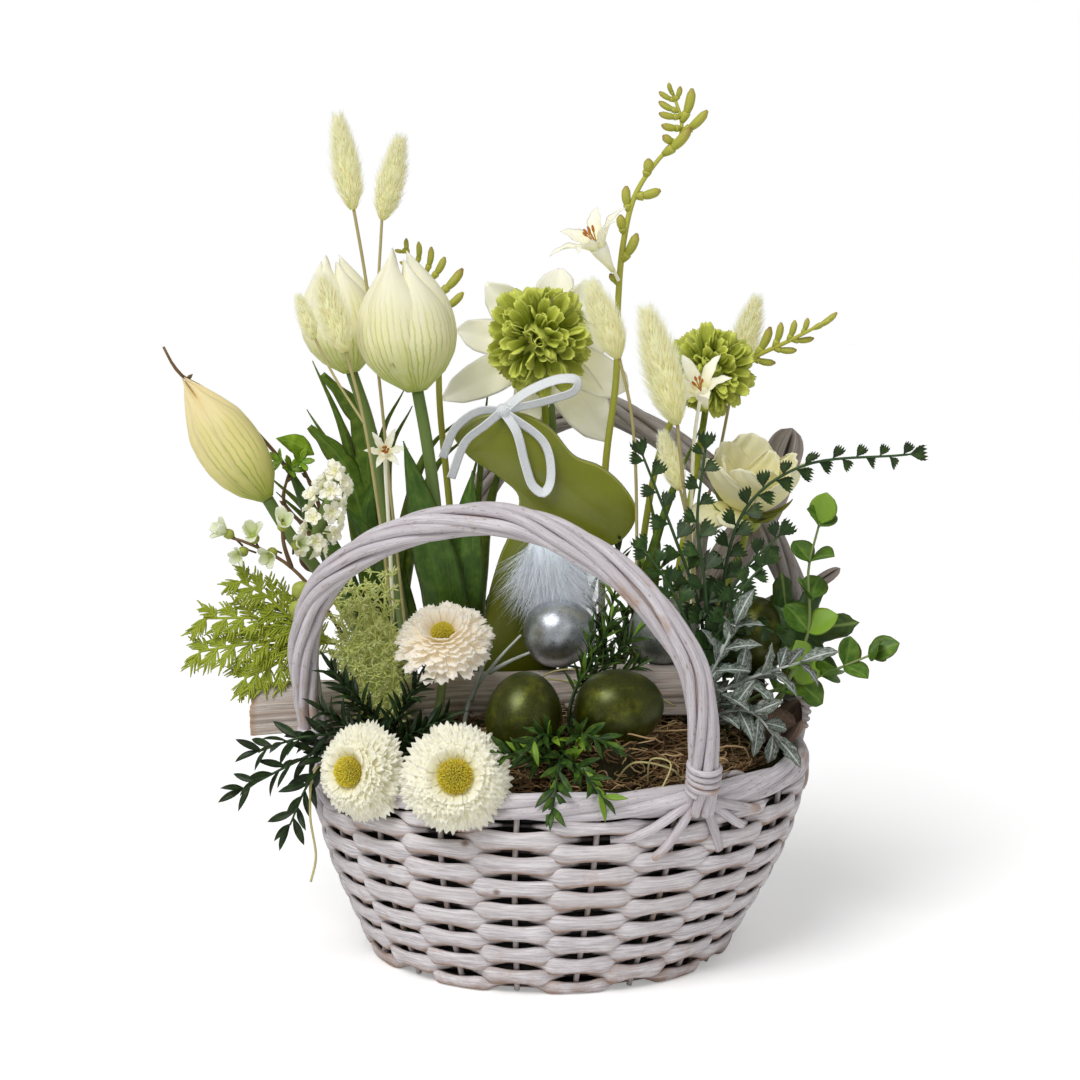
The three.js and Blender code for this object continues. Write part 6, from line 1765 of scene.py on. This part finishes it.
VALVE_OUTLINE = [0.7, 0.95, 1.05, 1.0, 0.85, 0.62, 0.25]
CAPSULE_BASE, CAPSULE_TIP = [139, -10, 128], [143, -17, 142]
CAPSULE_FOOT = [[139, -10, 130], [137.5, -9.5, 121], [136, -9, 112]]


def build_capsule():
    """A brown seed cup with open valves, low beside the rim."""
    piece = Piece("dried_capsule", 226)
    base, tip = vector(CAPSULE_BASE), vector(CAPSULE_TIP)
    axis = unit(tip - base)
    piece.tubes(smooth([base, (base + tip) / 2, tip], 16), profile(even(16), [4, 9, 10.5, 11, 9]),
                24, tone=0.5)
    out = ring_of(4, axis, 0.3)
    grids = fan(piece.rng, base + out * 8.5, out, axis, 25, 19, VALVE_OUTLINE, 0.95, 1.0, cup=0.42,
                rows=18, columns=11)
    piece.sheets(grids, 1.2, width=5)
    piece.tubes(smooth(CAPSULE_FOOT, 8), 3.0, 10)
    piece.make("capsule", "dried", "dried_capsule")


FLORET_OUTLINE, FLORETS = [0.35, 0.75, 1.0, 0.95, 0.5], 23
CLUSTER_LOW, CLUSTER_HIGH = [-138, -9, 236], [-118, -9, 288]
CLUSTER_STEM = [[-128, -9, 250], [-118, 0, 215], [-101, 20, 150], [-96, 25, 114]]


def build_white_cluster():
    """Ragged white florets crowded round a green spike."""
    petals, green = Piece("white_florets", 227), Piece("white_cluster_stem", 228)
    rng = petals.rng
    green.tubes(smooth(CLUSTER_STEM, 30), 1.8)
    low, high = vector(CLUSTER_LOW), vector(CLUSTER_HIGH)
    core = smooth([low, (low + high) / 2, high], 16)
    green.tubes(core, 3.2 * np.sin(np.linspace(0.15, 0.9, 16) * PI), 10)
    axis = unit(high - low)
    a, b = across(axis)
    for t, turn in zip(*spiral(FLORETS)):
        out = unit(a * math.cos(turn) + b * math.sin(turn) + axis * 0.25)
        reach = (7 + 6 * rng.random()) * math.sin((0.12 + 0.8 * t) * PI)
        at = low + (high - low) * t + out * reach
        way = ring_of(5, out, rng.uniform(0, 1), 0.5, rng)
        grids = fan(rng, at, way, out, 7.2 * rng.uniform(0.75, 1.1, 5), 5.6, FLORET_OUTLINE, 0.5,
                    rng.normal(-0.3, 0.5, 5), cup=0.5, ruffle=0.9, notch=0.05, columns=7)
        petals.sheets(grids, 0.3, width=2)
        green.tubes(np.array([at - out * reach * 0.9, at - out * 2, at]), 0.55, 5)
    green.make("tulip_stem", "ivory_petal", "white_cluster")
    petals.make("ivory", "ivory_petal", "white_cluster")


BLOSSOM_STEMS = [[[-92, -18, 128], [-118, -22, 196], [-146, -18, 232], [-172, -14, 246], [-186, -12, 250]],
                 [[-146, -18, 232], [-150, -22, 248], [-150, -24, 262]]]


BLOSSOMS = (([-184, -14, 252], [-0.7, -0.5, 0.5], 12), ([-168, -17, 250], [-0.2, -0.7, 0.8], 13),
            ([-150, -24, 258], [0.2, -0.8, 0.6], 13), ([-158, -16, 240], [-0.3, -0.8, -0.3], 11),
            ([-176, -12, 240], [-0.6, -0.7, -0.3], 10), ([-142, -20, 246], [0.6, -0.7, 0.3], 10))
BLOSSOM_OUTLINE, BLOSSOM_CUP = [0.4, 0.8, 1.0, 0.95, 0.6], [1.0, 2.0, 2.8, 3.2, 3.2, 2.8, 2.0, 1.0]


def build_blossoms():
    """Half-open green-white blossoms and round lime buds on a brown stem."""
    stems, petals = Piece("blossom_stems", 229), Piece("blossom_petals", 230)
    green = Piece("blossom_buds", 231)
    rng = petals.rng
    for path in BLOSSOM_STEMS:
        stems.tubes(smooth(path, 30), np.linspace(1.5, 0.9, 30))
    for at, axis, size in BLOSSOMS:
        at, face = vector(at), unit(axis)
        out = ring_of(4, axis, rng.uniform(0, 1))
        grids = fan(rng, at + out * 0.8, out, face, size * 0.85, size * 0.62, BLOSSOM_OUTLINE, 0.9,
                    rng.normal(0.2, 0.5, 4), cup=0.5, rows=12, columns=9)
        petals.sheets(grids, 0.4, width=3)
        green.tubes(smooth([at - face * 5, at - face * 1.5, at + face * 2.0], 8), BLOSSOM_CUP, 10)
        stems.tubes(np.array([at - face * 4.5, at - face * 9 + [2, 1, -4]]), 0.7, 6)
    for at, size in (([-140, -21, 219], 5.6), ([-142, -22, 208], 5.4)):
        line = np.array(at) + np.array([-1, -0.3, 0.6]) * np.linspace(-size, size, 14)[:, None] * 0.8
        green.tubes(line, size * np.sin(np.linspace(0.06, 0.94, 14) * PI) ** 0.6, 14, tone=0.2)
        stems.tubes(np.array([[-132, -21, 214], [-136, -21, 216], line[7]]), 0.8, 6)
    stems.make("twig", "fresh_leaf", "blossom_sprig")
    green.make("calyx", "fresh_leaf", "blossom_sprig")
    petals.make("blossom", "fresh_leaf", "blossom_sprig")


TWIGS = ([[-84, 48, 116], [-114, 54, 200], [-160, 46, 290], [-200, 24, 333], [-212, 8, 343], [-217, 6, 350],
          [-222, 6, 360]],
         [[-126, 54, 218], [-136, 44, 262], [-150, 40, 296]],
         [[-120, 53, 212], [-146, 40, 226], [-141, 38, 243], [-156, 36, 264], [-152, 38, 284]])
TWIG_LEAF = [[-138, 43, 292], [-148, 38, 299], [-160, 34, 303]]
LIME_FLOWERS = ([-152, 38, 284], [-146, 38, 288], [-158, 37, 288])
TWIG_BUD, LIME_OUTLINE = [0.7, 1.1, 1.3, 1.2, 0.9, 0.5, 0.1], [0.5, 0.8, 1.0, 0.85, 0.3]


def build_twigs():
    """Brown twigs with buds, one green leaf and small lime flowers at a tip."""
    wood, green = Piece("brown_twigs", 232), Piece("twig_leaf", 233)
    for path in TWIGS:
        line = smooth(path, 60)
        bumps = 1 + 0.25 * np.abs(np.sin(np.linspace(0, 9 * PI, 60))) ** 6
        wood.tubes(line, np.linspace(2.0, 0.8, 60) * bumps, 9)
        for k in range(18, 56, 9):
            way = unit(np.array([(-1) ** k, -0.4, 0.9]))
            bud = line[k] + way * np.linspace(0, 5, 7)[:, None]
            wood.tubes(bud, TWIG_BUD, 7)
    grid = blade(TWIG_LEAF, [1, 9, 13, 11, 6, 0.3], np.array([0.3, 0.1, 1]), 0.12, 18, 9)
    green.sheets(grid, 0.6, width=6)
    rng = green.rng
    for at in LIME_FLOWERS:
        axis = unit(np.array([rng.normal(0, 0.4), -0.8, 0.5]))
        out = ring_of(5, axis, rng.uniform(0, 1))
        grids = fan(rng, vector(at) + out * 0.6, out, axis, 8.5, 4.6, LIME_OUTLINE, 0.5, 0.2, cup=0.35)
        green.sheets(grids, 0.45, width=2)
    green.make("lime_tip", "fresh_leaf")
    wood.make("twig", "dried", "twigs")


CYPRESS = [[[-98, 18, 114], [-104, 17, 150], [-124, 8, 182], [-160, -4, 198], [-200, -8, 200]],
           [[-124, 8, 182], [-150, -2, 186], [-178, -8, 184], [-203, -10, 180]],
           [[-124, 8, 182], [-146, 0, 196], [-162, -4, 212], [-178, -6, 222]],
           [[-124, 8, 182], [-140, 0, 186], [-158, -8, 172], [-176, -10, 164]]]


SCALES = 16


def build_cypress():
    """Flat feathery sprays: short blunt scales on branchlets on branches."""
    piece = Piece("cypress_spray", 234)
    rng = piece.rng
    plane = unit(np.array([0.1, -0.95, 0.3]))
    t = even(10)
    for n, path in enumerate(CYPRESS):
        line = smooth(path, 80)
        piece.tubes(line, np.linspace(1.5, 0.8, 80), 7, tone=0.3)
        along = unit(np.gradient(line, axis=0))
        first = 0.5 if n == 0 else 0.12
        for i, at in enumerate(np.linspace(first, 0.99, 15)):
            k = int(at * 79)
            sign = 1 if i % 2 else -1
            side = unit(np.cross(along[k], plane)) * sign
            size = mix(19, 9, (at - first) / (1 - first)) * rng.uniform(0.8, 1.15)
            aim = unit(side + along[k] * 0.75 + plane * rng.normal(0, 0.25))
            twig = line[k] + aim * (t * size)[:, None] + along[k] * (t**2 * size * 0.3)[:, None]
            twig = twig - UP * (t**2 * 0.8)[:, None]
            piece.tubes(twig, np.linspace(0.95, 0.5, 10), 6, tone=0.3)
            twig_way = unit(np.gradient(twig, axis=0))
            spots = np.linspace(0.12, 1, SCALES)
            j = (spots * 9).astype(int)
            lean = np.cross(twig_way[j], plane) * np.where(np.arange(SCALES) % 2, 1, -1)[:, None]
            out = unit(lean + twig_way[j] * 0.9 + rng.normal(0, 0.15, (SCALES, 3)))
            s = even(4)
            reach = rng.uniform(4.2, 7.4, SCALES) * (1.1 - 0.4 * spots)
            lines = (strands(twig[j], out, reach, s)
                     + twig_way[j][:, None] * (s**2 * 2.2)[:, None] - UP * (s**2 * 1.2)[:, None])
            piece.tubes(lines, np.array([0.5, 0.66, 0.6, 0.3]), 5)
    piece.make("cypress", "fresh_leaf", "cypress_spray")


PUFF_STARS, PUFF_NEEDLES = 900, 7
PUFF_ROOT = [-94, -28, 118]
PUFF_TIPS = [[-118, -32, 184], [-118, -30, 214], [-90, -26, 228], [-96, -38, 200], [-106, -34, 222],
             [-84, -36, 196], [-110, -40, 190], [-100, -24, 210], [-88, -34, 180]]


def build_puff():
    """Pale dill-like moss: stems under crowded stars of tiny needles."""
    piece = Piece("moss_puff", 235)
    rng = piece.rng
    root, count, needles = vector(PUFF_ROOT), PUFF_STARS, PUFF_NEEDLES
    ends = []
    for tip in vector(PUFF_TIPS):
        line = smooth([root, (root + tip) / 2 + rng.normal(0, 4, 3), tip], 24)
        piece.tubes(line, np.linspace(1.2, 0.6, 24), 6, tone=0.9)
        ends.append(line[9:])
    spots = np.concatenate(ends)
    at = spots[rng.integers(0, len(spots), count)]
    step = rng.normal(0, 1, (count, 3))
    step = unit(step) * (rng.random(count) ** 0.5 * 10)[:, None] * [1.1, 0.7, 1.0]
    centre = at + step
    piece.tubes(np.stack([at, (at + centre) / 2 + UP, centre], axis=1), 0.35, 4, tone=rng.random(count))
    hub = np.repeat(centre, needles, axis=0)
    aim = unit(np.repeat(step, needles, axis=0) * 0.12 + rng.normal(0, 0.8, (count * needles, 3)))
    lines = strands(hub, aim, rng.uniform(2.6, 5.2, count * needles), even(3))
    piece.tubes(lines, np.array([0.5, 0.5, 0.2]), 3, tone=np.repeat(rng.random(count) * 0.4, needles))
    piece.make("puff", "fresh_leaf", "moss_puff")


# ---------------------------------------------------------------- moss bed

MOUNDS = (([-9, -75, 138], 21), ([45, -75, 146], 22), ([129, 24, 164], 12))


MOSS_LOW, MOSS_HIGH = 117, 160


def rim_share(x, y, inset):
    """How far out a point lies: 1 at the given distance inside the rim's middle line."""
    return np.hypot((x - RIM_X) / (RIM_WIDTH / 2 - inset), y / (RIM_DEPTH / 2 - inset))


def moss_height(x, y):
    """The height of the moss, highest towards the middle and the back."""
    edge = rim_share(x, y, 8)
    peak = np.hypot((x - 5) / (RIM_WIDTH / 2), (y - 30) / (RIM_DEPTH / 2))
    share = np.clip((1 - edge) / np.maximum(1 - edge + 0.75 * peak, 1e-6), 0, 1)
    return mix(MOSS_LOW, MOSS_HIGH, share)


def build_moss():
    """The moss bed between the plants, rough, with a mound under each olive egg."""
    piece = Piece("moss_bed", 241)
    rng = piece.rng
    sides, rows = 220, 60
    turn = circle(sides)
    rings = [xyz(RIM_X + np.cos(turn) * 118, np.sin(turn) * 100, 92.0)]
    for share in np.linspace(1, 0.01, rows):
        x = RIM_X + np.cos(turn) * (RIM_WIDTH / 2 - 9) * share
        y = np.sin(turn) * (RIM_DEPTH / 2 - 9) * share
        rough = (np.sin(x * 0.31 + 2 * np.sin(y * 0.23)) + np.sin(y * 0.37 + 2 * np.sin(x * 0.19))
                 + 0.7 * np.sin(x * 0.83 + y * 0.71) + rng.normal(0, 0.35, sides))
        rings.append(xyz(x, y, moss_height(x, y) - 3 + rough * 1.5 * min(1, share * 6)))
    rings = np.array(rings)[None]
    piece.add(rings, rings, (0.5, 0.5, 0.2))
    for (x, y, top), radius in MOUNDS:
        t = even(16)
        line = xyz(x, y, mix(108, top - 1, t))
        piece.tubes(line, radius * profile(t, [1.08, 1.0, 0.85, 0.62]) * (1 + rng.normal(0, 0.02, 16)), 30,
                    hint=(1, 0, 0))
    piece.make("soil", "moss", "filler")


def add_curls(piece, count, low, high, bend, step, thick, height, rows, pale_share, clump=0.0):
    """Curled strands that lie on the moss between two corners, some pale, a share in the front clump."""
    rng = piece.rng
    near = rng.random(count) < clump
    x = np.where(near, rng.uniform(-20, 140, count), rng.uniform(low[0], high[0], count))
    y = np.where(near, rng.uniform(-112, -35, count), rng.uniform(low[1], high[1], count))
    keep = rim_share(x, y, 14) < 0.98
    x, y = x[keep], y[keep]
    count = len(x)
    z = moss_height(x, y) - 1
    for (mx, my, top), radius in MOUNDS:
        close = np.hypot(x - mx, y - my)
        z = np.where(close < radius * 1.2, np.maximum(z, mix(top, 112, (close / (radius * 1.25)) ** 2)), z)
    bend = rng.normal(0, bend, (count, 1)) + rng.normal(0, bend / 3, (count, rows))
    angle = rng.uniform(0, TURN, (count, 1)) + np.cumsum(bend, axis=1)
    step = rng.uniform(*step, (count, 1))
    line_x = x[:, None] + np.cumsum(np.cos(angle) * step, axis=1)
    line_y = y[:, None] + np.cumsum(np.sin(angle) * step, axis=1)
    pull = np.minimum(1, 0.98 / np.maximum(rim_share(line_x, line_y, 11), 1e-6))
    line_x, line_y = RIM_X + (line_x - RIM_X) * pull, line_y * pull
    rise = rng.uniform(0, height, (count, 1)) * np.sin(np.linspace(0.1, 0.95, rows) * PI)
    lines = xyz(line_x, line_y, z[:, None] + rise + rng.normal(0, 0.4, (count, rows)))
    pale = (rng.random((count, 1)) < pale_share) * rng.uniform(0.4, 1, (count, 1))
    piece.tubes(lines, rng.uniform(*thick, (count, 1)) * np.linspace(1, 0.5, rows), 4, extra=pale)


def build_fibres():
    """Curled coco fibres over the moss, thickest at the front right, with a few larger curls there."""
    piece = Piece("coco_curls", 242)
    add_curls(piece, 2700, (-115, -105), (140, 105), bend=0.6, step=(1.4, 3.6), thick=(0.28, 0.75),
              height=5.5, rows=9, pale_share=0.2, clump=0.42)
    add_curls(piece, 170, (44, -112), (140, -40), bend=0.42, step=(2.2, 4.2), thick=(0.5, 0.95),
              height=11, rows=15, pale_share=0.6)
    piece.make("fibre", "moss", "filler")


FROSTED_TWIGS = ([[-46, -44, 130], [-40, -44, 160], [-26, -42, 180], [-11, -40, 196]],
                 [[-40, -44, 158], [-34, -46, 176], [-28, -44, 192]],
                 [[-30, -42, 174], [-16, -44, 182], [-6, -42, 186]])
BACK_BLADES = (
    ([[66, 34, 128], [63, 32, 200], [76, 28, 258], [97, 24, 312]], [3, 6, 7, 5, 0.3]),
    ([[-36, 60, 128], [-39, 62, 220], [-36, 60, 290], [-31, 58, 338]], [3, 5, 5, 4, 0.3]),
    ([[-40, 52, 128], [-36, 50, 210], [-30, 46, 262], [-16, 44, 306]], [3, 7, 8, 6, 0.3]),
    ([[-44, 46, 128], [-46, 44, 200], [-44, 42, 260], [-36, 40, 300]], [3, 6, 7, 5, 0.3]),
    ([[60, 44, 128], [68, 44, 190], [72, 40, 236], [66, 38, 272]], [3, 6, 7, 5, 0.3]),
)
DRY_STRAWS = (
    ([[-112, -56, 128], [-128, -70, 124], [-131, -77, 100], [-128, -78, 74], [-131, -79, 60]], 0.7),
    ([[60, -98, 122], [62, -110, 140], [72, -112, 138], [66, -116, 122]], 0.5),
    ([[40, -96, 120], [52, -104, 136], [74, -104, 132], [80, -92, 120]], 0.6),
    ([[88, 36, 150], [90, 34, 200], [91, 30, 236], [97, 30, 252]], 0.9),
    ([[92, 38, 150], [95, 34, 200], [93, 31, 230], [86, 30, 244]], 0.9),
    ([[-20, -20, 150], [10, -26, 172], [50, -28, 166], [80, -24, 150]], 0.6),
    ([[-30, -18, 150], [0, -24, 166], [40, -30, 160], [70, -32, 148]], 0.6),
)


def build_extras():
    """Thin things between the plants: frosted twigs, blades at the back, straws, a hanging strand."""
    frost = Piece("frosted_twigs", 243)
    for path in FROSTED_TWIGS:
        frost.tubes(smooth(path, 26), np.linspace(1.5, 0.7, 26) * (1 + 0.15 * frost.rng.random(26)))
    frost.make("frost_stem", "frosted_leaf")
    back = Piece("back_blades", 245)
    for path, widths in BACK_BLADES:
        back.sheets(blade(path, widths, np.array([1, 0.3, 0]), 0.18, 36, ruffle=0.3), 0.6, width=3.5)
    back.make("grass", "leaf")
    straw = Piece("dry_straws", 244)
    for path, thick in DRY_STRAWS:
        straw.tubes(smooth(path, 40), thick, 6)
    straw.make("straw_stem", "straw")


build_grass()
build_ivy()
build_pods()
build_capsule()
build_white_cluster()
build_blossoms()
build_twigs()
build_cypress()
build_puff()
build_moss()
build_fibres()
build_extras()
